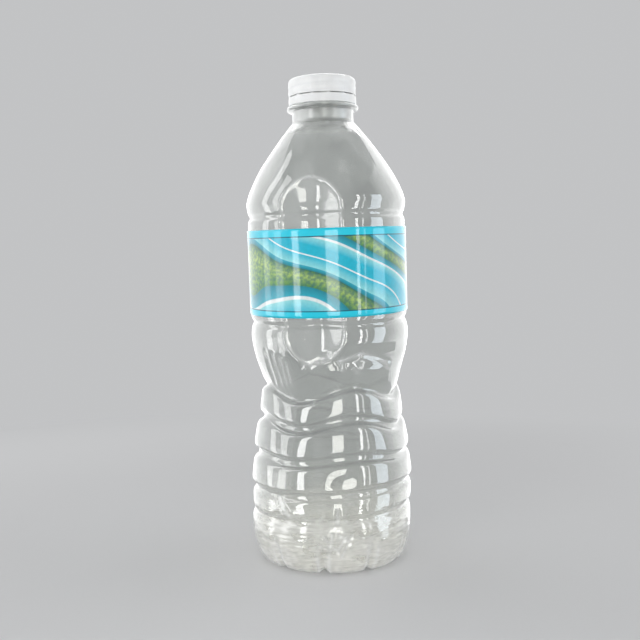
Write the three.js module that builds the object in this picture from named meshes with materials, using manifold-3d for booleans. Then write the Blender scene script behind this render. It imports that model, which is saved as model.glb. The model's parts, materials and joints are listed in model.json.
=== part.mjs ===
// A dented half-litre water bottle standing on its feet: the blown clear bottle, its screw cap, the broken
// tamper band left on the neck, and the film label wrapped round the upper body. Millimetres, +Z up, front
// towards -Y. Heights run up the bottle's own axis from the standing plane, and angles run from the front
// towards +X.
import * as THREE from "three";
import { mergeVertices } from "three/addons/utils/BufferGeometryUtils.js";
import Module from "manifold-3d";

const wasm = await Module();
wasm.setup();

const degrees = THREE.MathUtils.degToRad;

// Clearance that keeps separate pieces apart where they seat on each other.
const FIT = 0.3;

// Blown bottle: wall, base and heel.
const WALL = 0.2;
const PUSH_UP = 6.5;
const FOOT_INNER_RADIUS = 22.5;
const FOOT_OUTER_RADIUS = 26.5;
const NOTCH_COUNT = 10;
const NOTCH_DEPTH = 2;
const NOTCH_HALF_ANGLE = degrees(4);
const BARREL_RADIUS = 32.7;
const HEEL_CURVE_HEIGHT = 17;
const HEEL_HEIGHT = 21.6;

// Barrel rings above the heel: height from groove to groove, how far the crest stands in from the barrel, and
// how far the groove above the ring waves up and down.
const LOW_RING_HEIGHT = 10;
const SECOND_RING_HEIGHT = 12.5;
const SECOND_RING_WAVE = 0.9;
const THIRD_RING_HEIGHT = 13.2;
const THIRD_RING_INSET = 1.3;
const THIRD_RING_WAVE = 2.1;
const TOP_RING_HEIGHT = 13.1;
const TOP_RING_INSET = 3.6;
const TOP_RING_WAVE = 2.8;
const RINGS = [
  { height: LOW_RING_HEIGHT, radius: BARREL_RADIUS, wave: 0 },
  { height: SECOND_RING_HEIGHT, radius: BARREL_RADIUS, wave: SECOND_RING_WAVE },
  { height: THIRD_RING_HEIGHT, radius: BARREL_RADIUS - THIRD_RING_INSET, wave: THIRD_RING_WAVE },
  { height: TOP_RING_HEIGHT, radius: BARREL_RADIUS - TOP_RING_INSET, wave: TOP_RING_WAVE },
];
const RING_FLATNESS = 3;
const GROOVE_DEPTH = 1.25;
const WAVE_COUNT = 4;
const WAVE_CREST = degrees(18);

// Waist and grip between the rings and the label panel.
const WAIST_RADIUS = 26.1;
const WAIST_FLARE_RADIUS = 28;
const WAIST_FLARE_HEIGHT = 3.6;
const GRIP_RADIUS = 32.3;
const GRIP_CREST_HEIGHT = 23.6;
const GRIP_HEIGHT = 27.9;

// Label panel between two bead grooves, and the film label on it.
const PANEL_RADIUS = 31.9;
const BEAD_GROOVE_DEPTH = 0.9;
const BEAD_GROOVE_HALF_HEIGHT = 1.5;
const LABEL_HEIGHT = 33.6;
const LABEL_MARGIN_LOW = 3.4;
const LABEL_MARGIN_HIGH = 5.1;
const LABEL_FILM = 0.1;
const LABEL_OVERLAP_COLUMNS = 2;

// Shoulder, neck and mouth.
const SHOULDER_RADIUS = 32.3;
const SHOULDER_CREST_RISE = 4.7;
const SHOULDER_HEIGHT = 37.4;
const SHOULDER_HANDLE_LOW = 7;
const SHOULDER_HANDLE_HIGH = new THREE.Vector2(7.9, -9);
const NECK_RADIUS = 12.3;
const NECK_HEIGHT = 4.4;
const SUPPORT_RING_RADIUS = 14.4;
const SUPPORT_RING_HEIGHT = 2;
const SUPPORT_RING_EDGE = 0.35;
const BORE_RADIUS = 10.4;
const FINISH_WALL = 1.6;
const RIM_EDGE = 0.4;
const BEAD_RISE = 1.6;
const BEAD_HEIGHT = 0.45;

// Tamper band, with the stubs of its broken bridges.
const BAND_RISE = 0.5;
const BAND_HEIGHT = 2.8;
const BAND_WALL = 0.85;
const BAND_LIP_HEIGHT = 0.9;
const STUB_COUNT = 13;
const STUB_FIRST = degrees(9.9);
const STUB_WIDTH = 1;
const STUB_HEIGHT = 0.25;

// Screw cap.
const THREAD_ROOM = 0.55;
const CAP_HEIGHT = 6.85;
const CAP_TOP = 1.3;
const CAP_WALL = 0.65;
const CAP_EDGE = 1.2;
const KNURL_COUNT = 60;
const KNURL_HEIGHT = 0.25;
const KNURL_MARGIN = 0.7;
const PLUG_DEPTH = 1.8;
const PLUG_WALL = 0.8;

// Damage: the upper body leans over where the waist is crushed, a wall panel behind the label has snapped
// inwards, the grip has a fold beside it, and the lower rings sit askew.
const LEAN_FRONT = degrees(6);
const LEAN_LEFT = degrees(1.5);
const BEND_REACH = 12;
const DIMPLE_ANGLE = degrees(-11.5);
const DIMPLE_HALF_WIDTH = 11.8;
const DIMPLE_HALF_LENGTH = 35;
const FOLD_ANGLE = degrees(24);
const FOLD_HALF_ANGLE = degrees(48);
const FOLD_DROP = 12.5;
const FOLD_HALF_HEIGHT = 5;
const FOLD_DEPTH = 1.3;
const SKEW_RIGHT = 0.056;
const SKEW_FRONT = -0.04;

// Facets round the bottle. Each foot takes four columns, and the dimple's middle falls between two of them.
const COLUMNS_PER_NOTCH = 4;
const COLUMNS = NOTCH_COUNT * COLUMNS_PER_NOTCH;
const COLUMN_STEP = (2 * Math.PI) / COLUMNS;
const FIRST_COLUMN = DIMPLE_ANGLE + COLUMN_STEP / 2;
const ROUND_SEGMENTS = 48;

// Heights that follow from the sizes above.
const waistHeight = RINGS.reduce((height, ring) => height + ring.height, HEEL_HEIGHT);
const panelLow = waistHeight + GRIP_HEIGHT;
const labelLow = panelLow + LABEL_MARGIN_LOW;
const panelHigh = labelLow + LABEL_HEIGHT + LABEL_MARGIN_HIGH;
const shoulderHigh = panelHigh + SHOULDER_HEIGHT;
const ringLow = shoulderHigh + NECK_HEIGHT;
const ringHigh = ringLow + SUPPORT_RING_HEIGHT;
const bandLow = ringHigh + BAND_RISE;
const bandHigh = bandLow + BAND_HEIGHT;
const capLow = bandHigh + STUB_HEIGHT + FIT;
const capHigh = capLow + CAP_HEIGHT;
const rimHeight = capHigh - CAP_TOP - FIT;
const finishRadius = BORE_RADIUS + FINISH_WALL;
const beadRadius = finishRadius + BEAD_HEIGHT;
const leanAngle = Math.hypot(LEAN_FRONT, LEAN_LEFT);
const leanTowards = new THREE.Vector2(-LEAN_LEFT, -LEAN_FRONT).normalize();
const bendLow = waistHeight - BEND_REACH;
const bendHigh = waistHeight + BEND_REACH;

const clamp01 = (value) => THREE.MathUtils.clamp(value, 0, 1);

// Angle of a column of facets. Below the heel the columns beside a notch close in on it.
function columnAngle(column, pinch) {
  const place = column % COLUMNS_PER_NOTCH;
  const side = place === 1 ? -1 : place === COLUMNS_PER_NOTCH - 1 ? 1 : 0;
  return FIRST_COLUMN + column * COLUMN_STEP + side * pinch * (COLUMN_STEP - NOTCH_HALF_ANGLE);
}

// A point of a straight bottle, carried over by the bend at the waist: upright, then an arc, then leaning.
function bend(height, radius, angle) {
  const arc = bendHigh - bendLow;
  const turned = leanAngle * clamp01((height - bendLow) / arc);
  const bow = arc / leanAngle;
  const straight = Math.max(height - bendHigh, 0);
  const out = bow * (1 - Math.cos(turned)) + straight * Math.sin(turned);
  const up = Math.min(height, bendLow) + bow * Math.sin(turned) + straight * Math.cos(turned);
  const flat = new THREE.Vector2(radius * Math.sin(angle), -radius * Math.cos(angle));
  const along = flat.dot(leanTowards);
  flat.addScaledVector(leanTowards, out + along * (Math.cos(turned) - 1));
  return new THREE.Vector3(flat.x, flat.y, up - along * Math.sin(turned));
}

// Depth of the panel that has snapped inwards: a long round-ended patch turned inside out about its edge.
function dimpleDepth(height, angle) {
  const middle = (panelLow + panelHigh) / 2;
  const across = PANEL_RADIUS * (angle - DIMPLE_ANGLE);
  const beyond = Math.max(Math.abs(height - middle) - (DIMPLE_HALF_LENGTH - DIMPLE_HALF_WIDTH), 0);
  const reach = (across ** 2 + beyond ** 2) / DIMPLE_HALF_WIDTH ** 2;
  return (DIMPLE_HALF_WIDTH ** 2 / PANEL_RADIUS) * Math.max(1 - reach, 0);
}

// Depth of the fold across the grip, below the panel groove.
function foldDepth(height, angle) {
  const across = (angle - FOLD_ANGLE) / FOLD_HALF_ANGLE;
  const up = (height - panelLow + FOLD_DROP) / FOLD_HALF_HEIGHT;
  return FOLD_DEPTH * Math.max(1 - across ** 2, 0) * Math.max(1 - up ** 2, 0);
}

// How far a wavy groove lifts the wall at a height, and how much the skewed rings tilt it there.
function waveHeight(height) {
  let low = HEEL_HEIGHT;
  let wave = 0;
  for (const ring of RINGS) {
    if (height <= low + ring.height) {
      return THREE.MathUtils.lerp(wave, ring.wave, clamp01((height - low) / ring.height));
    }
    low += ring.height;
    wave = ring.wave;
  }
  return wave * clamp01(1 - (height - low) / BEND_REACH);
}

function skewShare(height) {
  const high = HEEL_HEIGHT + RINGS[0].height;
  const fade = RINGS[1].height + RINGS[2].height;
  return clamp01(height / HEEL_HEIGHT) * clamp01(1 - (height - high) / fade);
}

// Wall stations: a height and radius on the profile, with the notch cut there as a push in and a push up.
function station(height, radius, notchIn = 0, notchUp = 0, pinch = 0) {
  return { height, radius, notchIn, notchUp, pinch };
}

function baseStations() {
  const dome = [0.28, 0.56, 0.82].map((share) => {
    const height = PUSH_UP * Math.cos((share * Math.PI) / 2);
    return station(height, share * FOOT_INNER_RADIUS, 0, NOTCH_DEPTH * share ** 2, 1);
  });
  const feet = [FOOT_INNER_RADIUS, FOOT_OUTER_RADIUS].map((radius) => station(0, radius, 0, NOTCH_DEPTH, 1));
  return [...dome, ...feet];
}

function heelStations() {
  const steps = [0.25, 0.5, 0.75, 1];
  const curve = steps.map((step) => {
    const turn = (step * Math.PI) / 2;
    const notch = NOTCH_DEPTH * Math.cos(turn);
    const radius = THREE.MathUtils.lerp(FOOT_OUTER_RADIUS, BARREL_RADIUS, Math.sin(turn));
    const height = HEEL_CURVE_HEIGHT * (1 - Math.cos(turn));
    return station(height, radius, notch * Math.sin(turn), notch * Math.cos(turn), 1 - step * step);
  });
  const edge = station((HEEL_CURVE_HEIGHT + 2 * HEEL_HEIGHT) / 3, BARREL_RADIUS - GROOVE_DEPTH / 3);
  return [...curve, edge];
}

function ringStations() {
  const crests = [BARREL_RADIUS, ...RINGS.map((ring) => ring.radius)];
  const grooves = RINGS.map((ring, index) => Math.min(crests[index], ring.radius) - GROOVE_DEPTH);
  grooves.push(WAIST_RADIUS);
  const stations = [];
  let low = HEEL_HEIGHT;
  RINGS.forEach((ring, index) => {
    const crown = ring.radius - (grooves[index] + grooves[index + 1]) / 2;
    for (const share of [0, 0.16, 0.5, 0.84]) {
      const groove = THREE.MathUtils.lerp(grooves[index], grooves[index + 1], share);
      const bulge = 1 - Math.abs(2 * share - 1) ** RING_FLATNESS;
      stations.push(station(low + share * ring.height, groove + crown * bulge));
    }
    low += ring.height;
  });
  return stations;
}

function gripStations() {
  const rise = GRIP_CREST_HEIGHT - WAIST_FLARE_HEIGHT;
  const flare = new THREE.CubicBezierCurve(
    new THREE.Vector2(WAIST_FLARE_RADIUS, WAIST_FLARE_HEIGHT),
    new THREE.Vector2((2 * WAIST_FLARE_RADIUS + GRIP_RADIUS) / 3, WAIST_FLARE_HEIGHT + 0.25 * rise),
    new THREE.Vector2(GRIP_RADIUS, WAIST_FLARE_HEIGHT + 0.65 * rise),
    new THREE.Vector2(GRIP_RADIUS, GRIP_CREST_HEIGHT),
  );
  const halfway = THREE.MathUtils.lerp(WAIST_RADIUS, WAIST_FLARE_RADIUS, 0.55);
  const waist = [station(waistHeight, WAIST_RADIUS), station(waistHeight + WAIST_FLARE_HEIGHT / 2, halfway)];
  const wall = flare.getPoints(4).map((point) => station(waistHeight + point.y, point.x));
  return [...waist, ...wall];
}

function panelStations() {
  const grooveRadius = PANEL_RADIUS - BEAD_GROOVE_DEPTH;
  const straight = [0, 0.25, 0.5, 0.75, 1].map((share) =>
    station(
      THREE.MathUtils.lerp(panelLow + BEAD_GROOVE_HALF_HEIGHT, panelHigh - BEAD_GROOVE_HALF_HEIGHT, share),
      PANEL_RADIUS,
    ),
  );
  return [
    station(panelLow - BEAD_GROOVE_HALF_HEIGHT, PANEL_RADIUS),
    station(panelLow, grooveRadius),
    ...straight,
    station(panelHigh, grooveRadius),
    station(panelHigh + BEAD_GROOVE_HALF_HEIGHT, PANEL_RADIUS),
  ];
}

function shoulderStations() {
  const crest = new THREE.Vector2(SHOULDER_RADIUS, panelHigh + SHOULDER_CREST_RISE);
  const neck = new THREE.Vector2(NECK_RADIUS, shoulderHigh);
  const bell = new THREE.CubicBezierCurve(
    crest,
    crest.clone().add(new THREE.Vector2(0, SHOULDER_HANDLE_LOW)),
    neck.clone().add(SHOULDER_HANDLE_HIGH),
    neck,
  );
  return bell.getPoints(8).map((point) => station(point.y, point.x));
}

function neckStations() {
  const edge = SUPPORT_RING_EDGE;
  const bead = bandLow + BEAD_RISE;
  return [
    station(ringLow, NECK_RADIUS),
    station(ringLow, SUPPORT_RING_RADIUS - edge),
    station(ringLow + edge, SUPPORT_RING_RADIUS),
    station(ringHigh - edge, SUPPORT_RING_RADIUS),
    station(ringHigh, SUPPORT_RING_RADIUS - edge),
    station(ringHigh, finishRadius),
    station(bead - BEAD_HEIGHT, finishRadius),
    station(bead, beadRadius),
    station(bead + BEAD_HEIGHT, finishRadius),
    station(rimHeight - RIM_EDGE, finishRadius),
    station(rimHeight, finishRadius - RIM_EDGE),
  ];
}

function boreStations() {
  return [
    station(rimHeight, BORE_RADIUS + RIM_EDGE),
    station(rimHeight - RIM_EDGE, BORE_RADIUS),
    station(shoulderHigh, BORE_RADIUS),
  ];
}

// One ring of wall points at a station, with the damage in it.
function wallRing(at) {
  return Array.from({ length: COLUMNS }, (_, column) => {
    const angle = columnAngle(column, at.pinch);
    const fromFront = THREE.MathUtils.euclideanModulo(angle + Math.PI, 2 * Math.PI) - Math.PI;
    const notched = column % COLUMNS_PER_NOTCH === 0 ? 1 : 0;
    const dent = dimpleDepth(at.height, fromFront) + foldDepth(at.height, fromFront);
    const radius = at.radius - notched * at.notchIn - dent;
    const tilt = SKEW_RIGHT * Math.sin(angle) + SKEW_FRONT * Math.cos(angle);
    const lift = waveHeight(at.height) * Math.cos(WAVE_COUNT * (angle - WAVE_CREST));
    const askew = skewShare(at.height) * radius * tilt;
    return bend(at.height + notched * at.notchUp + lift + askew, radius, angle);
  });
}

// The same ring moved in by the wall, square to the surface that its neighbours make.
function innerRing(rings, level) {
  const below = rings[Math.max(level - 1, 0)];
  const above = rings[level + 1];
  return rings[level].map((point, column) => {
    const next = rings[level][(column + 1) % COLUMNS];
    const last = rings[level][(column + COLUMNS - 1) % COLUMNS];
    const round = next.clone().sub(last);
    const up = above[column].clone().sub(below[column]);
    const outwards = round.cross(up).normalize();
    return point.clone().addScaledVector(outwards, -WALL);
  });
}

// Closes a stack of point rings into one skin that starts and ends at a single point.
function closedSkin(start, rings, end) {
  const count = rings[0].length;
  const last = rings.length - 1;
  const points = [start, ...rings.flat(), end];
  const corner = (ring, column) => 1 + ring * count + (column % count);
  const index = [];
  for (let column = 0; column < count; column++) {
    index.push(0, corner(0, column + 1), corner(0, column));
    for (let ring = 0; ring < last; ring++) {
      index.push(corner(ring, column), corner(ring, column + 1), corner(ring + 1, column + 1));
      index.push(corner(ring, column), corner(ring + 1, column + 1), corner(ring + 1, column));
    }
    index.push(corner(last, column), corner(last, column + 1), points.length - 1);
  }
  const geometry = new THREE.BufferGeometry().setFromPoints(points);
  geometry.setIndex(index);
  geometry.computeVertexNormals();
  return geometry;
}

// Blown bottle: the outer wall from the base's middle up to the rim, then the bore and the inner wall down.
function bottleGeometry() {
  const lower = [...baseStations(), ...heelStations(), ...ringStations()];
  const upper = [...gripStations(), ...panelStations(), ...shoulderStations()];
  const outer = [...lower, ...upper].map(wallRing);
  const neck = [...neckStations(), ...boreStations()].map(wallRing);
  const inner = outer.slice(0, -1).map((_, level) => innerRing(outer, level));
  const middle = new THREE.Vector3(0, 0, PUSH_UP);
  const middleInside = new THREE.Vector3(0, 0, PUSH_UP + WALL);
  return closedSkin(middle, [...outer, ...neck, ...inner.reverse()], middleInside);
}

// Joining solids.
function solidOf(geometry) {
  const bare = geometry.clone();
  bare.deleteAttribute("normal");
  bare.deleteAttribute("uv");
  const merged = mergeVertices(bare);
  const vertProperties = new Float32Array(merged.getAttribute("position").array);
  const triVerts = new Uint32Array(merged.getIndex().array);
  return new wasm.Manifold(new wasm.Mesh({ numProp: 3, vertProperties, triVerts }));
}

function geometryOf(solid) {
  const mesh = solid.getMesh();
  const geometry = new THREE.BufferGeometry();
  geometry.setAttribute("position", new THREE.BufferAttribute(mesh.vertProperties, 3));
  geometry.setIndex(new THREE.BufferAttribute(mesh.triVerts, 1));
  geometry.computeVertexNormals();
  return geometry;
}

// A solid of revolution about +Z from corners given as radius and height.
function turned(corners) {
  const profile = corners.map(([radius, height]) => new THREE.Vector2(radius, height));
  return new THREE.LatheGeometry(profile, ROUND_SEGMENTS).rotateX(Math.PI / 2);
}

// Screw cap: a turned cup with a plug seal under its top, and a ring of grip ribs round its skirt.
function capGeometry() {
  const bore = finishRadius + THREAD_ROOM + FIT;
  const side = bore + CAP_WALL;
  const under = capHigh - CAP_TOP;
  const plug = BORE_RADIUS - FIT;
  const edge = [0, 0.5, 1].map((step) => {
    const turn = (step * Math.PI) / 2;
    return [side - CAP_EDGE * (1 - Math.cos(turn)), capHigh - CAP_EDGE * (1 - Math.sin(turn))];
  });
  const cup = turned([
    [0, under],
    [plug - PLUG_WALL, under],
    [plug - PLUG_WALL, under - PLUG_DEPTH],
    [plug, under - PLUG_DEPTH],
    [plug, under],
    [bore, under],
    [bore, capLow],
    [side, capLow],
    ...edge,
    [0, capHigh],
  ]);
  const ribs = new THREE.Shape(
    Array.from({ length: 2 * KNURL_COUNT }, (_, step) => {
      const angle = (step * Math.PI) / KNURL_COUNT;
      const radius = side + (step % 2 ? KNURL_HEIGHT : 0);
      return new THREE.Vector2(radius * Math.cos(angle), radius * Math.sin(angle));
    }),
  );
  const hole = (bore + side) / 2;
  ribs.holes.push(
    new THREE.Path(
      Array.from({ length: ROUND_SEGMENTS }, (_, step) => {
        const angle = (step * 2 * Math.PI) / ROUND_SEGMENTS;
        return new THREE.Vector2(hole * Math.cos(angle), hole * Math.sin(angle));
      }),
    ),
  );
  const depth = CAP_HEIGHT - CAP_EDGE - KNURL_MARGIN;
  const knurl = new THREE.ExtrudeGeometry(ribs, { depth, bevelEnabled: false });
  knurl.translate(0, 0, capLow + KNURL_MARGIN);
  return geometryOf(solidOf(cup).add(solidOf(knurl)));
}

// Tamper band: a turned ring whose lip holds it under the neck's bead, with bridge stubs on its upper edge.
function bandGeometry() {
  const inside = beadRadius + FIT;
  const outside = inside + BAND_WALL;
  const lip = finishRadius + FIT;
  const lipHigh = bandLow + BAND_LIP_HEIGHT;
  const ring = turned([
    [lip, bandLow],
    [outside, bandLow],
    [outside, bandHigh],
    [inside, bandHigh],
    [inside, lipHigh],
    [lip, bandLow],
  ]);
  let band = solidOf(ring);
  const stubSize = [BAND_WALL / 2, STUB_WIDTH, 2 * STUB_HEIGHT];
  for (let stub = 0; stub < STUB_COUNT; stub++) {
    const tooth = new THREE.BoxGeometry(...stubSize);
    tooth.translate((inside + outside) / 2, 0, bandHigh);
    tooth.rotateZ(STUB_FIRST - Math.PI / 2 + (stub * 2 * Math.PI) / STUB_COUNT);
    band = band.add(solidOf(tooth));
  }
  return geometryOf(band);
}

// Film label: a thin tube round the panel, twice as thick where its ends overlap at the back.
function labelGeometry() {
  const inside = PANEL_RADIUS + FIT;
  const half = COLUMNS / 2;
  const ring = (radiusAt) =>
    Array.from({ length: COLUMNS }, (_, column) => {
      const angle = columnAngle(column, 0);
      const radius = radiusAt(column);
      return new THREE.Vector2(radius * Math.sin(angle), -radius * Math.cos(angle));
    });
  const overlapped = (column) => column > half - LABEL_OVERLAP_COLUMNS && column <= half;
  const film = new THREE.Shape(ring((column) => inside + LABEL_FILM * (overlapped(column) ? 2 : 1)));
  film.holes.push(new THREE.Path(ring(() => inside)));
  const geometry = new THREE.ExtrudeGeometry(film, { depth: LABEL_HEIGHT, bevelEnabled: false });
  return geometry.translate(0, 0, labelLow);
}

// Materials.
const clearPlastic = new THREE.MeshStandardMaterial({
  color: "#e6eaec",
  roughness: 0.08,
  metalness: 0,
  transparent: true,
  opacity: 0.35,
});
const whitePlastic = new THREE.MeshStandardMaterial({ color: "#eef0f2", roughness: 0.4, metalness: 0 });
const printedFilm = new THREE.MeshStandardMaterial({ color: "#1c9fd0", roughness: 0.25, metalness: 0 });

function piece(name, geometry, material) {
  const mesh = new THREE.Mesh(geometry, material);
  mesh.name = name;
  return mesh;
}

// The cap, band and label keep the straight bottle's heights, in a group that leans as the upper body does.
const leaning = new THREE.Group();
const axis = new THREE.Vector3(-leanTowards.y, leanTowards.x, 0);
leaning.quaternion.setFromAxisAngle(axis, leanAngle);
const straightUp = new THREE.Vector3(0, 0, bendHigh).applyQuaternion(leaning.quaternion);
leaning.position.copy(bend(bendHigh, 0, 0)).sub(straightUp);
leaning.add(
  piece("screw_cap", capGeometry(), whitePlastic),
  piece("tamper_band", bandGeometry(), whitePlastic),
  piece("wrap_label", labelGeometry(), printedFilm),
);

const bottle = new THREE.Group();
bottle.add(piece("bottle_body", bottleGeometry(), clearPlastic), leaning);

// The origin is on the standing plane, under the middle of the whole bottle's box.
const middle = new THREE.Box3().setFromObject(bottle, true).getCenter(new THREE.Vector3());
bottle.position.set(-middle.x, -middle.y, 0);

const model = new THREE.Group();
model.add(bottle);

export default model;
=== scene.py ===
"""Looks of a dented half-litre water bottle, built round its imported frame.

The bottle is first drawn straight, in millimetres: heights run up its axis from the standing plane, and
angles run from the front towards +X. Its damage is pressed into that wall, and the upper body then leans
over at the crushed waist.
"""

import json
import logging
import math
from dataclasses import dataclass, field
from enum import Enum

import bpy
import numpy as np
from mathutils import Matrix, Vector


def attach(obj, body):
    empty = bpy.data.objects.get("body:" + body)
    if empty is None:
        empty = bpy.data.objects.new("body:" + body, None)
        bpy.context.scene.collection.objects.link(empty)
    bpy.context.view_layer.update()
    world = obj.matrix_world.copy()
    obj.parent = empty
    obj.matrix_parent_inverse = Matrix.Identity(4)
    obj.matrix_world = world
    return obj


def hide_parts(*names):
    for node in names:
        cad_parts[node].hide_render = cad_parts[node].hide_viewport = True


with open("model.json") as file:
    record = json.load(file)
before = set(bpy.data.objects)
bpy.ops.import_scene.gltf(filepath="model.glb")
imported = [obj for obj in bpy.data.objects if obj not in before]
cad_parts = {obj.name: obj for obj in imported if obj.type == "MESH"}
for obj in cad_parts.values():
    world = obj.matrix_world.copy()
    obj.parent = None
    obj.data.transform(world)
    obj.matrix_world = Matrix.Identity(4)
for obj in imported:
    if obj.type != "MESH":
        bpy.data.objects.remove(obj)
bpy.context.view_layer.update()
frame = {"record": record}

log = logging.getLogger("bottle")

MM = 0.001

Array = np.ndarray
Piece = bpy.types.Object
Socket = bpy.types.NodeSocket


class Body(Enum):
    """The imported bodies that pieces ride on."""

    BOTTLE = "bottle"
    CAP = "cap"


class Slot(Enum):
    """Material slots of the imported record."""

    CLEAR = "clear_plastic"
    WHITE = "white_plastic"
    FILM = "printed_film"


class Shine(Enum):
    """What a light panel does: light the scene, or show in gloss."""

    FILL = (True, False)
    MIRROR = (False, True)


def smoothstep(low: float, high: float, value: Array) -> Array:
    """Eases values from 0 at low to 1 at high."""
    share = np.clip((value - low) / (high - low), 0, 1)
    return share * share * (3 - 2 * share)


def bump(distance: Array) -> Array:
    """A round hump: 1 at no distance, 0 from a distance of 1 on."""
    return np.clip(1 - distance**2, 0, None) ** 2


def bell(distance: Array, width: float, power: int = 2) -> Array:
    """A bell curve: 1 at no distance, fading over the width, with steeper sides for a higher power."""
    return np.exp(-((distance / width) ** power))


def softened(value: Array, softness: float) -> Array:
    """The positive part of a value, with its corner rounded off by softness."""
    return softness * np.logaddexp(0, value / softness)


def bezier(points: list[tuple[float, float]], steps: int) -> Array:
    """Points along a cubic curve.

    Args:
        points: The curve's two ends and, between them, its two handles.
        steps: How many stretches to cut it into.

    Returns:
        steps + 1 points, one to a row.
    """
    p = np.array(points)
    t = np.linspace(0, 1, steps + 1)[:, None]
    return (1 - t) ** 3 * p[0] + 3 * (1 - t) ** 2 * t * p[1] + 3 * (1 - t) * t**2 * p[2] + t**3 * p[3]


def even_steps(points: Array, step: float) -> Array:
    """Cuts a line into even steps along its first two columns.

    Args:
        points: The line's points, one to a row.
        step: Length of a step.

    Returns:
        New points along the line.
    """
    lengths = np.hypot(*np.diff(points[:, :2], axis=0).T)
    along = np.concatenate([[0], np.cumsum(lengths)])
    kept = np.concatenate([[True], lengths > 0])
    places = np.linspace(0, along[-1], int(along[-1] / step) + 1)
    return np.stack([np.interp(places, along[kept], column[kept]) for column in points.T], axis=1)


def rounded(points: Array, radius: float, step: float) -> Array:
    """Rounds the corners of a line that is already cut into even steps.

    Args:
        points: The line's points, one to a row.
        radius: About how far a corner is rounded.
        step: Length of the line's steps.

    Returns:
        The rounded line, with as many points.
    """
    reach = int(3 * radius / step) + 1
    offsets = np.arange(-reach, reach + 1)
    weights = np.exp(-0.5 * (offsets * step / radius) ** 2)
    weights /= weights.sum()
    padded = np.pad(points, ((reach, reach), (0, 0)), mode="reflect", reflect_type="odd")
    columns = [np.convolve(column, weights, mode="valid") for column in padded.T]
    return np.stack(columns, axis=1)


def thinned(points: Array, density: Array, count: int) -> Array:
    """Picks points along a line, closer together where the density is higher.

    Args:
        points: The line's points, one to a row.
        density: Wanted points per length at each point.
        count: How many points to pick.

    Returns:
        The picked points, ends included.
    """
    lengths = np.hypot(*np.diff(points[:, :2], axis=0).T)
    share = np.concatenate([[0], np.cumsum(lengths * (density[1:] + density[:-1]) / 2)])
    places = np.linspace(0, share[-1], count)
    return np.stack([np.interp(places, share, column) for column in points.T], axis=1)


def curvature(points: Array) -> Array:
    """How sharply a line turns at each of its points.

    Args:
        points: The line's points as height and radius, one to a row.

    Returns:
        The turn per length.
    """
    first = np.gradient(points[:, :2], axis=0)
    second = np.gradient(first, axis=0)
    cross = first[:, 0] * second[:, 1] - first[:, 1] * second[:, 0]
    return np.abs(cross) / np.maximum(np.hypot(*first.T) ** 3, 1e-9)


def outward(rings: Array) -> Array:
    """Unit normals of a grid of points that closes round its columns.

    Args:
        rings: Points by row and column.

    Returns:
        A normal for each point.
    """
    round_step = np.roll(rings, -1, axis=1) - np.roll(rings, 1, axis=1)
    normals = np.cross(round_step, np.gradient(rings, axis=0))
    return normals / np.maximum(np.linalg.norm(normals, axis=2, keepdims=True), 1e-12)


def round_angles(columns: int) -> Array:
    """Even angles round the axis, one to a column."""
    return np.linspace(-math.pi, math.pi, columns, endpoint=False)[None, :]


def ring_faces(rows: int, columns: int) -> list[tuple[int, ...]]:
    """Faces of a skin whose rings of points lie between two single end points.

    Args:
        rows: Number of rings.
        columns: Points in each ring.

    Returns:
        Vertex numbers of each face. The first end point is 0 and the last comes after all rings.
    """
    here = np.arange(columns)
    after = (here + 1) % columns
    low = 1 + columns * np.arange(rows - 1)[:, None]
    quads = np.stack([low + here, low + after, low + columns + after, low + columns + here], axis=2)
    last = 1 + columns * (rows - 1)
    end = last + columns
    faces = [(0, 1 + b, 1 + a) for a, b in zip(here.tolist(), after.tolist())]
    faces += [tuple(quad) for quad in quads.reshape(-1, 4).tolist()]
    faces += [(last + a, last + b, end) for a, b in zip(here.tolist(), after.tolist())]
    return faces


def loop_faces(rows: int, columns: int) -> list[tuple[int, ...]]:
    """Faces of a skin that closes on itself both round its columns and up its rows.

    Args:
        rows: Number of rings.
        columns: Points in each ring.

    Returns:
        Vertex numbers of each face.
    """
    here = np.arange(columns)
    after = (here + 1) % columns
    low = columns * np.arange(rows)[:, None]
    high = columns * ((np.arange(rows) + 1) % rows)[:, None]
    quads = np.stack([low + here, low + after, high + after, high + here], axis=2)
    return [tuple(quad) for quad in quads.reshape(-1, 4).tolist()]


def mesh_object(name: str, points: Array, faces: list[tuple[int, ...]]) -> Piece:
    """Makes a smooth-shaded mesh object in the scene.

    Args:
        name: Name of the piece.
        points: Its points in metres, one to a row.
        faces: Vertex numbers of its faces.

    Returns:
        The new object.
    """
    mesh = bpy.data.meshes.new(name)
    mesh.from_pydata(points.tolist(), [], faces)
    mesh.shade_smooth()
    mesh.update()
    made = bpy.data.objects.new(name, mesh)
    bpy.context.scene.collection.objects.link(made)
    return made


def mark_rings(piece: Piece, name: str, share: Array) -> None:
    """Marks the ring points of a skin between two end points with shares that its finish reads."""
    values = np.concatenate([[0], share.ravel(), [0]]).astype(np.float32)
    piece.data.attributes.new(name, "FLOAT", "POINT").data.foreach_set("value", values)


def settle(piece: Piece, node: str, body: Body) -> Piece:
    """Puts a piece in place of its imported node.

    Args:
        piece: The finished piece.
        node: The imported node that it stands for.
        body: The body that it moves with.

    Returns:
        The same piece.
    """
    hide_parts(node)
    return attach(piece, body.value)


@dataclass(frozen=True)
class Pattern:
    """A noise pattern: its scale, detail and stretch, and the span of noise that it eases over."""

    scale: float
    detail: float = 3
    stretch: tuple = (1, 1, 1)
    span: tuple = (0.35, 0.8)


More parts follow.
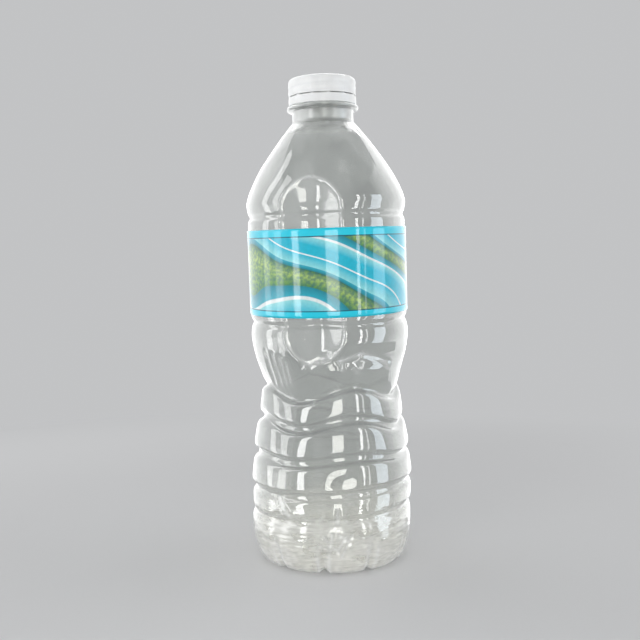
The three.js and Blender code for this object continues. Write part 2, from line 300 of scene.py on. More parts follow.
class NodeSheet:
    """The node tree of a material or a world, with short calls for the nodes that finishes share."""

    def __init__(self, owner: bpy.types.Material | bpy.types.World) -> None:
        """Empties the owner's node tree.

        Args:
            owner: The material or world that the nodes belong to.
        """
        self.owner = owner
        owner.use_nodes = True
        self.tree = owner.node_tree
        self.tree.nodes.clear()

    @classmethod
    def fresh(cls, name: str) -> "NodeSheet":
        """The empty sheet of a new material."""
        return cls(bpy.data.materials.new(name))

    def add(self, kind: str, inputs: dict | None = None, **settings: object) -> bpy.types.Node:
        """Adds a node.

        Args:
            kind: The node's type name, without its "ShaderNode" prefix.
            inputs: Values, or sockets to link, by input name or number.
            **settings: The node's own properties.

        Returns:
            The new node.
        """
        node = self.tree.nodes.new("ShaderNode" + kind)
        for key, value in settings.items():
            setattr(node, key, value)
        for key, value in (inputs or {}).items():
            if isinstance(value, Socket):
                self.tree.links.new(value, node.inputs[key])
            else:
                node.inputs[key].default_value = value
        return node

    def math(self, operation: str, *values: object) -> Socket:
        """A math node's result for values that are numbers or sockets."""
        return self.add("Math", dict(enumerate(values)), operation=operation).outputs[0]

    def noise(self, vector: Socket, scale: float, detail: float = 3) -> Socket:
        """Noise from 0 to 1 over a vector."""
        inputs = {"Vector": vector, "Scale": scale, "Detail": detail}
        return self.add("TexNoise", inputs).outputs["Fac"]

    def ease(self, value: Socket, low: float, high: float) -> Socket:
        """Eases from 0 where a value is low to 1 where it is high."""
        inputs = {"Value": value, "From Min": low, "From Max": high}
        return self.add("MapRange", inputs, interpolation_type="SMOOTHSTEP").outputs[0]

    def pattern(self, vector: Socket, pattern: Pattern) -> Socket:
        """A pattern over a vector, from 0 to 1."""
        noise = self.noise(self.stretched(vector, pattern.stretch), pattern.scale, pattern.detail)
        return self.ease(noise, *pattern.span)

    def mark(self, name: str) -> Socket:
        """The share that a piece's points are marked with."""
        return self.add("Attribute", attribute_name=name).outputs["Fac"]

    def span(self, value: Socket, low: float, high: float) -> Socket:
        """Maps a value from 0 to 1 onto the span from low to high."""
        inputs = {"Value": value, "To Min": low, "To Max": high}
        return self.add("MapRange", inputs).outputs[0]

    def layer(self, share: object, under: object, over: object) -> Socket:
        """Lays a share of one colour over another."""
        return self.add("Mix", {0: share, 6: under, 7: over}, data_type="RGBA").outputs[2]

    def ramp(self, value: object, stops: list[tuple[float, tuple]]) -> Socket:
        """A run of colours that pass evenly into each other.

        Args:
            value: Where along the run to look.
            stops: Place and colour of each stop, lowest first.

        Returns:
            The socket of the colour.
        """
        node = self.add("ValToRGB", {0: value})
        node.color_ramp.interpolation = "LINEAR"
        elements = node.color_ramp.elements
        while len(elements) < len(stops):
            elements.new(1)
        for element, (place, colour) in zip(elements, stops):
            element.position = place
            element.color = (*colour, 1)
        return node.outputs[0]

    def bumps(self, height: Socket, strength: object, depth: float,
              over: Socket | None = None) -> Socket:
        """A bumped normal.

        Args:
            height: Height from 0 to 1.
            strength: How strongly it shows.
            depth: Depth of a height of 1, in metres.
            over: Normal that the bumps are added to, if any.

        Returns:
            The socket of the normal.
        """
        inputs = {"Strength": strength, "Distance": depth, "Height": height}
        if over is not None:
            inputs["Normal"] = over
        return self.add("Bump", inputs).outputs[0]

    def stretched(self, vector: Socket, scale: tuple) -> Socket:
        """A vector with each of its three parts scaled."""
        return self.add("VectorMath", {0: vector, 1: scale}, operation="MULTIPLY").outputs[0]

    def place(self) -> Socket:
        """Where a point lies on its piece, in metres."""
        return self.add("TexCoord").outputs["Object"]

    def finish(self, shader: Socket) -> bpy.types.Material | bpy.types.World:
        """Wires a shader to the output and gives the sheet's owner.

        Args:
            shader: The shader that all of it leads to.

        Returns:
            The material or world.
        """
        kind = "OutputWorld" if isinstance(self.owner, bpy.types.World) else "OutputMaterial"
        self.add(kind, {"Surface": shader})
        return self.owner


@dataclass(frozen=True)
class ClearPlastic:
    """Clear blown plastic: milky where it is edge on or creased, with painted shade darkening its grooves'
    walls and painted warm light at its foot.
    """

    tint: tuple = (0.74, 0.757, 0.74, 1)
    # painted shade: the dark grey laid along the grooves' walls, also the grey of the random smudges
    groove_shade_and_smudge: tuple = (0.36, 0.375, 0.375, 1)
    whitened: tuple = (0.93, 0.94, 0.935, 1)
    # painted warm light: a pale warm tint for the foot, standing in for warm reflections and lifting the
    # floor's shade seen through it
    painted_warm_foot_light: tuple = (0.93, 0.925, 0.88, 1)
    index: float = 1.575
    shadow_clearness: float = 0.72
    roughness: float = 0.035
    folded_roughness: float = 0.3
    frosted_roughness: float = 0.24
    haze: float = 0.04
    smeared_haze: float = 0.064
    edge_haze: float = 0.4
    edge_power: float = 2.2
    folded_haze: float = 0.4
    foot_haze: float = 0.2
    foot_height: float = 0.043
    vein_haze: float = 0.24
    vein_half: float = 0.09
    patch_haze: float = 0.3
    streak_haze: float = 0.12
    smear_wear: float = 0.12
    smudge_share: float = 0.3
    smears: Pattern = Pattern(90, span=(0.45, 0.75))
    streaks: Pattern = Pattern(150, 2, (1, 1, 0.12), (0.45, 0.75))
    blotches: Pattern = Pattern(85, 3, (1, 1, 2.5), (0.42, 0.62))
    smudges: Pattern = Pattern(75, 4, (1, 1, 0.6), (0.5, 0.78))
    ripple: float = 0.00004
    ripple_scale: float = 140
    ripple_strength: float = 0.35
    crinkle: float = 0.0008
    crinkle_scale: float = 60
    crinkle_stretch: tuple = (1, 1, 5)

    def material(self) -> bpy.types.Material:
        """The plastic as a node material.

        Returns:
            The material.
        """
        sheet = NodeSheet.fresh("clear_plastic")
        place = sheet.place()
        # the first mark holds stress whitening together with painted highlights along the notches' edges
        whitened_and_highlit, groove_shade_and_smudge, frosted = sheet.mark("stress_and_notch_highlight"), sheet.mark("painted_groove_shade"), sheet.mark("frost")
        smear = sheet.pattern(place, self.smears)
        facing = sheet.add("LayerWeight", {"Blend": 0.5}).outputs["Facing"]
        edge_on = sheet.math("POWER", facing, self.edge_power)
        low = sheet.ease(sheet.add("SeparateXYZ", {0: place}).outputs[2], self.foot_height, 0)
        level = sheet.noise(sheet.stretched(place, self.crinkle_stretch), self.crinkle_scale)
        off_vein = sheet.math("ABSOLUTE", sheet.math("SUBTRACT", level, 0.5))
        hazes = [
            (edge_on, self.edge_haze),
            (low, self.foot_haze),
            (whitened_and_highlit, self.folded_haze),
            (sheet.pattern(place, self.streaks), self.streak_haze),
            (sheet.math("MULTIPLY", sheet.ease(off_vein, self.vein_half, 0), low), self.vein_haze),
            (sheet.math("MULTIPLY", sheet.pattern(place, self.blotches), low), self.patch_haze),
        ]
        milk = sheet.span(smear, self.haze, self.smeared_haze)
        for share, haze in hazes:
            milk = sheet.math("ADD", milk, sheet.math("MULTIPLY", share, haze))
        smudge = sheet.math("MULTIPLY", sheet.pattern(place, self.smudges), self.smudge_share)
        # painted shade along the grooves' walls, and random darker smudges
        colour = sheet.layer(sheet.math("MAXIMUM", groove_shade_and_smudge, smudge), self.tint, self.groove_shade_and_smudge)
        # painted warm light towards the foot
        colour = sheet.layer(low, colour, self.painted_warm_foot_light)
        worn = sheet.math("MAXIMUM", whitened_and_highlit, sheet.math("MULTIPLY", smear, self.smear_wear))
        rough = sheet.span(worn, self.roughness, self.folded_roughness)
        frost = sheet.math("MULTIPLY", frosted, self.frosted_roughness)
        ripples = sheet.bumps(sheet.noise(place, self.ripple_scale, 2), self.ripple_strength, self.ripple)
        wall = sheet.add(
            "BsdfPrincipled",
            {
                # whitening from stress and edge-on haze, and the painted highlights along the notches'
                # edges
                "Base Color": sheet.layer(sheet.math("MAXIMUM", whitened_and_highlit, edge_on), colour, self.whitened),
                "Roughness": sheet.math("ADD", rough, frost),
                "Transmission Weight": sheet.math("SUBTRACT", 1, milk),
                "IOR": self.index,
                "Normal": sheet.bumps(level, low, self.crinkle, ripples),
            },
        ).outputs[0]
        shadow = sheet.add("LightPath").outputs["Is Shadow Ray"]
        lit = sheet.math("MULTIPLY", shadow, self.shadow_clearness)
        through = sheet.add("BsdfTransparent").outputs[0]
        return sheet.finish(sheet.add("MixShader", {0: lit, 1: wall, 2: through}).outputs[0])


@dataclass(frozen=True)
class MouldedWhite:
    """Moulded white plastic with a soft sheen and the faint grain of its mould."""

    colour: tuple = (0.82, 0.83, 0.825, 1)
    shade: tuple = (0.76, 0.77, 0.77, 1)
    thread_shade: tuple = (0.62, 0.635, 0.64, 1)
    roughness: float = 0.34
    worn_roughness: float = 0.5
    glow: float = 0.12
    glow_reach: tuple = (0.0012, 0.0011, 0.001)
    cloud_scale: float = 220
    cloud_span: tuple = (0.35, 0.8)
    grain: float = 0.00003
    grain_scale: float = 2600
    grain_strength: float = 0.25

    def material(self) -> bpy.types.Material:
        """The plastic as a node material.

        Returns:
            The material.
        """
        sheet = NodeSheet.fresh("white_plastic")
        place = sheet.place()
        cloud = sheet.noise(place, self.cloud_scale)
        grain = sheet.noise(place, self.grain_scale, 4)
        colour = sheet.layer(sheet.ease(cloud, *self.cloud_span), self.colour, self.shade)
        plastic = sheet.add(
            "BsdfPrincipled",
            {
                "Base Color": sheet.layer(sheet.mark("ghost"), colour, self.thread_shade),
                "Roughness": sheet.span(cloud, self.roughness, self.worn_roughness),
                "Subsurface Weight": self.glow,
                "Subsurface Radius": self.glow_reach,
                "Subsurface Scale": 1.0,
                "Normal": sheet.bumps(grain, self.grain_strength, self.grain),
            },
        ).outputs[0]
        return sheet.finish(plastic)


@dataclass(frozen=True)
class PrintedFilm:
    """Glossy film with a generic print: flowing green and blue ribbons between two plain edge bands."""

    length: float
    height: float
    band: tuple = (0.015, 0.64, 0.82)
    line: tuple = (0.86, 0.92, 0.92)
    deep: tuple = (0.005, 0.11, 0.17)
    low_band: float = 2.35
    high_band: float = 2.85
    line_width: float = 0.4
    edge_softness: float = 0.05
    ribbon_pitch: float = 29
    ribbon_slope: float = 0.34
    ribbon_gap: float = 0.005
    sway: float = 44
    sway_scale: float = 0.024
    leafy: tuple[float, float] = (0.32, 0.56)
    leafy_softness: float = 0.01
    plain_dots: float = 0.1
    leafy_dots: float = 0.62
    mottle: Pattern = Pattern(0.7, 5, span=(0.35, 0.7))
    roughness: float = 0.33
    worn_roughness: float = 0.41
    gloss: float = 0.1
    coat: float = 0.55
    coat_roughness: float = 0.06
    wrinkle: float = 0.00005
    wrinkle_scale: float = 0.16
    wrinkle_strength: float = 0.5

    def ribbons(self) -> list[tuple[float, tuple]]:
        """Colours across one repeat of the ribbons, with each ribbon's edges close to its neighbours'.

        Returns:
            Place and colour of each stop, lowest first.
        """
        aqua, pale = (0.01, 0.52, 0.7), (0.3, 0.76, 0.8)
        teal, sea = (0.01, 0.26, 0.34), (0.02, 0.42, 0.55)
        leaf, lime, moss = (0.1, 0.3, 0.06), (0.42, 0.6, 0.16), (0.05, 0.2, 0.07)
        leaf_start, leaf_end = self.leafy
        runs = [
            (0, 0.16, aqua, pale),
            (0.16, 0.2, self.line, self.line),
            (0.2, leaf_start, sea, teal),
            (leaf_start, 0.46, leaf, lime),
            (0.46, leaf_end, lime, moss),
            (leaf_end, 0.62, teal, sea),
            (0.62, 0.8, pale, aqua),
            (0.8, 0.825, self.line, self.line),
            (0.825, 1, aqua, aqua),
        ]
        stops = []
        for start, end, first, last in runs:
            stops += [(start + self.ribbon_gap, first), (end - self.ribbon_gap, last)]
        return stops

    def material(self) -> bpy.types.Material:
        """The printed side as a node material.

        Returns:
            The material.
        """
        sheet = NodeSheet.fresh("printed_film")
        spread = sheet.stretched(sheet.add("TexCoord").outputs["UV"], (self.length, self.height, 1))
        parts = sheet.add("SeparateXYZ", {0: spread})
        along, up = parts.outputs[0], parts.outputs[1]
        drift = sheet.math("SUBTRACT", sheet.noise(spread, self.sway_scale, 0), 0.5)
        slope = sheet.math("MULTIPLY", along, self.ribbon_slope)
        across = sheet.math("ADD", sheet.math("ADD", up, slope), sheet.math("MULTIPLY", drift, self.sway))
        turn = sheet.math("FRACT", sheet.math("DIVIDE", across, self.ribbon_pitch))
        mottle = sheet.pattern(spread, self.mottle)
        leaf_start, leaf_end = self.leafy
        soft = self.leafy_softness
        leafy = sheet.math("MULTIPLY", sheet.ease(turn, leaf_start - soft, leaf_start + soft),
                           sheet.ease(turn, leaf_end + soft, leaf_end - soft))
        spotted = sheet.span(leafy, self.plain_dots, self.leafy_dots)
        dots = sheet.math("MULTIPLY", sheet.math("SUBTRACT", 1, mottle), spotted)
        print_colour = sheet.layer(dots, sheet.ramp(turn, self.ribbons()), (*self.deep, 1))
        wrinkles = sheet.noise(spread, self.wrinkle_scale, 2)
        film = sheet.add(
            "BsdfPrincipled",
            {
                "Base Color": self.edges(sheet, up, print_colour),
                "Roughness": sheet.span(mottle, self.roughness, self.worn_roughness),
                "Specular IOR Level": self.gloss,
                "Coat Weight": self.coat,
                "Coat Roughness": self.coat_roughness,
                "Normal": sheet.bumps(wrinkles, self.wrinkle_strength, self.wrinkle),
            },
        ).outputs[0]
        return sheet.finish(film)

    def edges(self, sheet: NodeSheet, up: object, under: object) -> Socket:
        """Lays the plain bands along the film's two edges, each with a thin deep line beside it.

        Args:
            sheet: The material's nodes.
            up: Height on the film in millimetres.
            under: The print so far.

        Returns:
            The socket of the whole print.
        """
        from_edge = sheet.math("MINIMUM", sheet.math("SUBTRACT", up, self.low_band),
                               sheet.math("SUBTRACT", self.height - self.high_band, up))
        soft = self.edge_softness
        for reach, colour in [(self.line_width, self.deep), (0, self.band)]:
            under = sheet.layer(sheet.ease(from_edge, reach + soft, reach - soft), under, (*colour, 1))
        return under


@dataclass(frozen=True)
class FilmBack:
    """The unprinted side of the film: white ink showing through clear film."""

    colour: tuple = (0.72, 0.77, 0.78, 1)
    stain: tuple = (0.5, 0.64, 0.66, 1)
    roughness: float = 0.28
    stains: Pattern = Pattern(130)

    def material(self) -> bpy.types.Material:
        """The film's back as a node material.

        Returns:
            The material.
        """
        sheet = NodeSheet.fresh("film_back")
        stained = sheet.pattern(sheet.place(), self.stains)
        colour = sheet.layer(stained, self.colour, self.stain)
        back = sheet.add("BsdfPrincipled", {"Base Color": colour, "Roughness": self.roughness})
        return sheet.finish(back.outputs[0])


@dataclass(frozen=True)
class Ring:
    """One barrel ring: its height from groove to groove, its crest, and the wave of the groove above it."""

    height: float
    radius: float
    wave: float


@dataclass(frozen=True)
class BottleForm:
    """Sizes of the straight bottle in millimetres, and the heights that follow from them."""

    fit: float = 0.3
    push_up: float = 6.5
    foot_inner: float = 22.5
    foot_outer: float = 26.5
    barrel: float = 32.7
    heel_curve: float = 17
    heel: float = 21.6
    rings: tuple[Ring, ...] = (
        Ring(10, 32.7, 0),
        Ring(12.5, 32.7, 0.9),
        Ring(13.2, 31.4, 2.1),
        Ring(13.1, 29.1, 2.8),
    )
    groove_depth: float = 1.25
    wave_count: int = 4
    wave_crest: float = math.radians(18)
    waist_radius: float = 26.1
    flare_radius: float = 28
    flare_height: float = 3.6
    grip_radius: float = 32.3
    grip_crest: float = 23.6
    grip: float = 27.9
    panel_radius: float = 31.9
    bead_depth: float = 0.9
    bead_half: float = 1.5
    label: float = 33.6
    label_low_margin: float = 3.4
    label_high_margin: float = 5.1
    shoulder_radius: float = 32.3
    shoulder_crest: float = 4.7
    shoulder: float = 37.4
    neck_radius: float = 12.3
    neck: float = 4.4
    support_radius: float = 14.4
    support: float = 2
    support_edge: float = 0.35
    bore: float = 10.4
    finish_wall: float = 1.6
    rim_edge: float = 0.4
    bead_rise: float = 1.6
    bead_height: float = 0.45
    band_rise: float = 0.5
    band: float = 2.8
    stub: float = 0.25
    thread_room: float = 0.55
    cap: float = 6.85
    cap_top: float = 1.3

    @property
    def waist(self) -> float:
        """Height of the waist."""
        return self.heel + sum(ring.height for ring in self.rings)

    @property
    def panel_low(self) -> float:
        """Height of the groove below the label panel."""
        return self.waist + self.grip

    @property
    def label_low(self) -> float:
        """Height of the label's lower edge."""
        return self.panel_low + self.label_low_margin

    @property
    def panel_high(self) -> float:
        """Height of the groove above the label panel."""
        return self.label_low + self.label + self.label_high_margin

    @property
    def shoulder_high(self) -> float:
        """Height at which the shoulder meets the neck."""
        return self.panel_high + self.shoulder

    @property
    def support_low(self) -> float:
        """Height of the support ring's underside."""
        return self.shoulder_high + self.neck

    @property
    def band_low(self) -> float:
        """Height of the tamper band's lower edge."""
        return self.support_low + self.support + self.band_rise

    @property
    def band_high(self) -> float:
        """Height of the tamper band's upper edge."""
        return self.band_low + self.band

    @property
    def cap_low(self) -> float:
        """Height of the cap's lower edge."""
        return self.band_high + self.stub + self.fit

    @property
    def cap_high(self) -> float:
        """Height of the cap's top."""
        return self.cap_low + self.cap

    @property
    def rim(self) -> float:
        """Height of the bottle's mouth."""
        return self.cap_high - self.cap_top - self.fit

    @property
    def finish_radius(self) -> float:
        """Radius of the neck inside the cap."""
        return self.bore + self.finish_wall


@dataclass(frozen=True)
class Lean:
    """The bend at the crushed waist: upright below it, an arc, and straight again but leaning above it."""

    form: BottleForm
    front: float = math.radians(6)
    left: float = math.radians(1.5)
    reach: float = 12
    foot_radius: float = 24.5
    foot_angle: float = math.radians(11)

    @property
    def axis_foot(self) -> Array:
        """Foot of the lower body's axis on the standing plane in millimetres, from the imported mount.

        Returns:
            Its x and y.
        """
        foot = np.array(frame["record"]["mounts"][0]["pos_m"][:2]) / MM
        drawn = (math.sin(self.foot_angle), -math.cos(self.foot_angle))
        return foot - self.foot_radius * np.array(drawn)

    def carry(self, height: Array, radius: Array, angle: Array) -> Array:
        """Carries points of the straight bottle over the bend.

        Args:
            height: Heights up the straight axis.
            radius: Distances from that axis.
            angle: Angles from the front towards +X.

        Returns:
            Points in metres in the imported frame, with x, y and z last.
        """
        lean = math.hypot(self.front, self.left)
        towards = -np.array([self.left, self.front]) / lean
        low, high = self.form.waist - self.reach, self.form.waist + self.reach
        bow = (high - low) / lean
        turned = lean * np.clip((height - low) / (high - low), 0, 1)
        straight = np.maximum(height - high, 0)
        out = bow * (1 - np.cos(turned)) + straight * np.sin(turned)
        up = np.minimum(height, low) + bow * np.sin(turned) + straight * np.cos(turned)
        x, y = radius * np.sin(angle), -radius * np.cos(angle)
        along = x * towards[0] + y * towards[1]
        moved = out + along * (np.cos(turned) - 1)
        foot = self.axis_foot
        points = [
            x + towards[0] * moved + foot[0],
            y + towards[1] * moved + foot[1],
            up - along * np.sin(turned),
        ]
        return np.stack(np.broadcast_arrays(*points), axis=-1) * MM


@dataclass(frozen=True)
class Wave:
    """A wave over a wall: radians to a unit of height, lobes round the axis, phase and share."""

    rise: float
    lobes: int
    phase: float = 0
    share: float = 1

    def at(self, height: Array, angle: Array) -> Array:
        """The wave at points of the wall."""
        return self.share * np.sin(self.rise * height + self.lobes * angle + self.phase)


def summed(waves: tuple[Wave, ...], height: Array, angle: Array) -> Array:
    """The sum of waves at points of a wall."""
    return sum(wave.at(height, angle) for wave in waves)


@dataclass(frozen=True)
class Crease:
    """A short fold line in the wall. Its ends are millimetres round from the front, and height.

    The reach and width of its raised lips and of its whitening are shares of its own width.
    """

    start: tuple[float, float]
    end: tuple[float, float]
    depth: float
    width: float = 0.9
    lip: float = 0.4
    lip_reach: float = 1.7
    lip_width: float = 0.9
    white: float = 0.55
    white_width: float = 0.6


@dataclass(frozen=True)
class Damage:
    """What has been pressed into the wall: a snapped-in panel, a fold, a dent, creases and skewed rings."""

    form: BottleForm
    dimple_angle: float = math.radians(-11.5)
    dimple_half_width: float = 11.8
    dimple_half_length: float = 35
    dimple_softness: float = 0.07
    dimple_snap: float = 1.45
    dimple_lip: float = 0.14
    dimple_lip_reach: float = 1.05
    dimple_lip_width: float = 0.07
    dimple_haze: float = 0.22
    dimple_haze_reach: float = 0.85
    rim_white: float = 0.55
    rim_width: float = 0.055
    fold_angle: float = math.radians(24)
    fold_half_angle: float = math.radians(48)
    fold_drop: float = 12.5
    fold_half_height: float = 5
    fold_depth: float = 1.6
    fold_roundness: float = 0.35
    dent_place: tuple[float, float] = (4.0, 36.2)
    dent_half: tuple[float, float] = (8.0, 3.8)
    dent_depth: float = 1.1
    skew_right: float = 0.056
    skew_front: float = -0.04
    wave_fade: float = 12
    wobble: float = 0.08
    wobble_start: float = 8
    wobble_waves: tuple[Wave, ...] = (Wave(0.21, 3), Wave(0.13, -5, 1.3), Wave(0.34, 9, 0.4, 0.6))
    crinkle_depth: float = 0.13
    crinkle_pitch: float = 1.9
    crinkle_swing: tuple[Wave, ...] = (Wave(0, 4, 0.6, 2.2), Wave(0, 9, 2, 1.3))
    crinkle_patches: tuple[Wave, Wave] = (Wave(0.35, 7, 1), Wave(-0.5, 11))
    crinkle_rise: tuple[float, float] = (2.5, 5)
    crinkle_fall: tuple[float, float] = (13, 18)
    around: float = 32
    creases: tuple[Crease, ...] = (
        Crease((-3.8, 16.8), (2.3, 9.6), 0.22, 0.7),
        Crease((-0.4, 17.5), (-1.9, 6.5), 0.3, 0.8),
        Crease((2.3, 16.8), (6.4, 13.7), 0.22, 0.7),
        Crease((4.9, 16.4), (1.5, 10.3), 0.22, 0.7),
        Crease((6.8, 16), (3.4, 8.1), 0.22, 0.7),
        Crease((-5.3, 12.2), (-0.8, 10.7), 0.2, 0.6),
        Crease((1.7, 26.5), (1.9, 21.8), 0.4),
        Crease((-22.9, 31), (-17.7, 24.6), 0.45, 1.1),
        Crease((-25, 14), (-24, 6), 0.4, 1.1),
        Crease((-11.8, 83.5), (-4.5, 85.5), 0.45, 1.0),
        Crease((-9, 82.9), (-1, 87.5), 0.45, 1.0),
        Crease((-29.9, 88), (-29.5, 75), 0.4, 1.4),
        Crease((-26, 87), (-25, 74), 0.35, 1.3),
        Crease((-22.1, 86), (-21.5, 75), 0.3, 1.2),
        Crease((-19.1, 84), (-18.8, 76), 0.25, 1.1),
        Crease((4.2, 86), (4.6, 80), 0.45, 0.9),
        Crease((3, 84.7), (12.8, 87.4), 0.55, 0.9),
        Crease((12.8, 87.4), (27.5, 82.4), 0.55, 1.0),
        Crease((9.5, 80.5), (11.5, 78), 0.4, 0.9),
    )

    def pressed(self, height: Array, angle: Array) -> tuple[Array, Array]:
        """How far the wall is pressed in, and how whitened it is there.

        Args:
            height: Heights of the wall's points.
            angle: Angles of the wall's points from the front, from -pi to pi.

        Returns:
            Depths in millimetres, and shares from 0 to 1.
        """
        depth, reach = self.dimple(height, angle)
        white = self.rim_white * bell(np.sqrt(reach) - 1, self.rim_width)
        haze = self.dimple_haze * smoothstep(1, self.dimple_haze_reach, np.sqrt(reach))
        white = np.maximum(white, haze)
        depth = depth + self.fold(height, angle) + self.dent(height, angle)
        for crease in self.creases:
            pressed, away = self.crease(crease, height, angle)
            depth = depth + pressed
            white = np.maximum(white, crease.white * bell(away, crease.white_width * crease.width))
        waviness = summed(self.wobble_waves, height, angle)
        depth = depth + self.wobble * waviness * smoothstep(0, self.wobble_start, height)
        return depth + self.crinkles(height, angle), white

    def crinkles(self, height: Array, angle: Array) -> Array:
        """Depth of the fine level crinkles in the heel.

        Args:
            height: Heights of the wall's points.
            angle: Angles of the wall's points from the front.

        Returns:
            Depths in millimetres.
        """
        swing = summed(self.crinkle_swing, height, angle)
        fine = np.sin(2 * math.pi * height / self.crinkle_pitch + swing)
        first, second = self.crinkle_patches
        patches = 0.5 + 0.5 * first.at(height, angle) * second.at(height, angle)
        window = smoothstep(*self.crinkle_rise, height) * (1 - smoothstep(*self.crinkle_fall, height))
        return self.crinkle_depth * fine * patches * window

    def dimple(self, height: Array, angle: Array) -> tuple[Array, Array]:
        """Depth of the panel that has snapped inside out, and each point's squared reach to its edge.

        Args:
            height: Heights of the wall's points.
            angle: Angles of the wall's points from the front.

        Returns:
            Depths in millimetres, and squared reaches that are 1 at the edge.
        """
        half = self.dimple_half_width
        middle = (self.form.panel_low + self.form.panel_high) / 2
        across = self.form.panel_radius * (angle - self.dimple_angle) / half
        beyond = np.maximum(np.abs(height - middle) - (self.dimple_half_length - half), 0) / half
        reach = across**2 + beyond**2
        lip = self.dimple_lip * bell(np.sqrt(reach) - self.dimple_lip_reach, self.dimple_lip_width)
        deepest = self.dimple_snap * half**2 / self.form.panel_radius
        depth = deepest * softened(1 - reach, self.dimple_softness)
        return depth - lip, reach

    def fold(self, height: Array, angle: Array) -> Array:
        """Depth of the fold across the grip.

        Args:
            height: Heights of the wall's points.
            angle: Angles of the wall's points from the front.

        Returns:
            Depths in millimetres.
        """
        across = (angle - self.fold_angle) / self.fold_half_angle
        up = np.abs(height - self.form.panel_low + self.fold_drop) / self.fold_half_height
        round_part = self.fold_roundness * np.clip(1 - up**2, 0, None)
        valley = round_part + (1 - self.fold_roundness) * np.clip(1 - up, 0, None)
        return self.fold_depth * np.clip(1 - across**2, 0, None) * valley

    def dent(self, height: Array, angle: Array) -> Array:
        """Depth of the round dent in a barrel ring.

        Args:
            height: Heights of the wall's points.
            angle: Angles of the wall's points from the front.

        Returns:
            Depths in millimetres.
        """
        across = (self.around * angle - self.dent_place[0]) / self.dent_half[0]
        up = (height - self.dent_place[1]) / self.dent_half[1]
        return self.dent_depth * bump(np.hypot(across, up))

    def crease(self, crease: Crease, height: Array, angle: Array) -> tuple[Array, Array]:
        """Depth of one crease, with its raised lips, and the distance to its line.

        Args:
            crease: The crease.
            height: Heights of the wall's points.
            angle: Angles of the wall's points from the front.

        Returns:
            Depths and distances in millimetres.
        """
        start, end = np.array(crease.start), np.array(crease.end)
        line = end - start
        u, v = self.around * angle - start[0], height - start[1]
        share = np.clip((u * line[0] + v * line[1]) / (line @ line), 0, 1)
        away = np.hypot(u - share * line[0], v - share * line[1])
        valley = bell(away, crease.width)
        lips = bell(away - crease.lip_reach * crease.width, crease.lip_width * crease.width)
        return crease.depth * (valley - crease.lip * lips), away

    def lift(self, height: Array, radius: Array, angle: Array) -> Array:
        """How far wavy grooves and skewed rings raise the wall.

        Args:
            height: Heights of the wall's points.
            radius: Radii of the wall's points.
            angle: Angles of the wall's points from the front.

        Returns:
            Rises in millimetres.
        """
        form = self.form
        tops = np.cumsum([form.heel, *(ring.height for ring in form.rings)])
        waves = [0, *(ring.wave for ring in form.rings)]
        wave = np.interp(height, [*tops, form.waist + self.wave_fade], [*waves, 0])
        skew_top = form.heel + form.rings[0].height
        fade = form.rings[1].height + form.rings[2].height
        skew = np.clip(height / form.heel, 0, 1) * np.clip(1 - (height - skew_top) / fade, 0, 1)
        tilt = self.skew_right * np.sin(angle) + self.skew_front * np.cos(angle)
        return wave * np.cos(form.wave_count * (angle - form.wave_crest)) + skew * radius * tilt


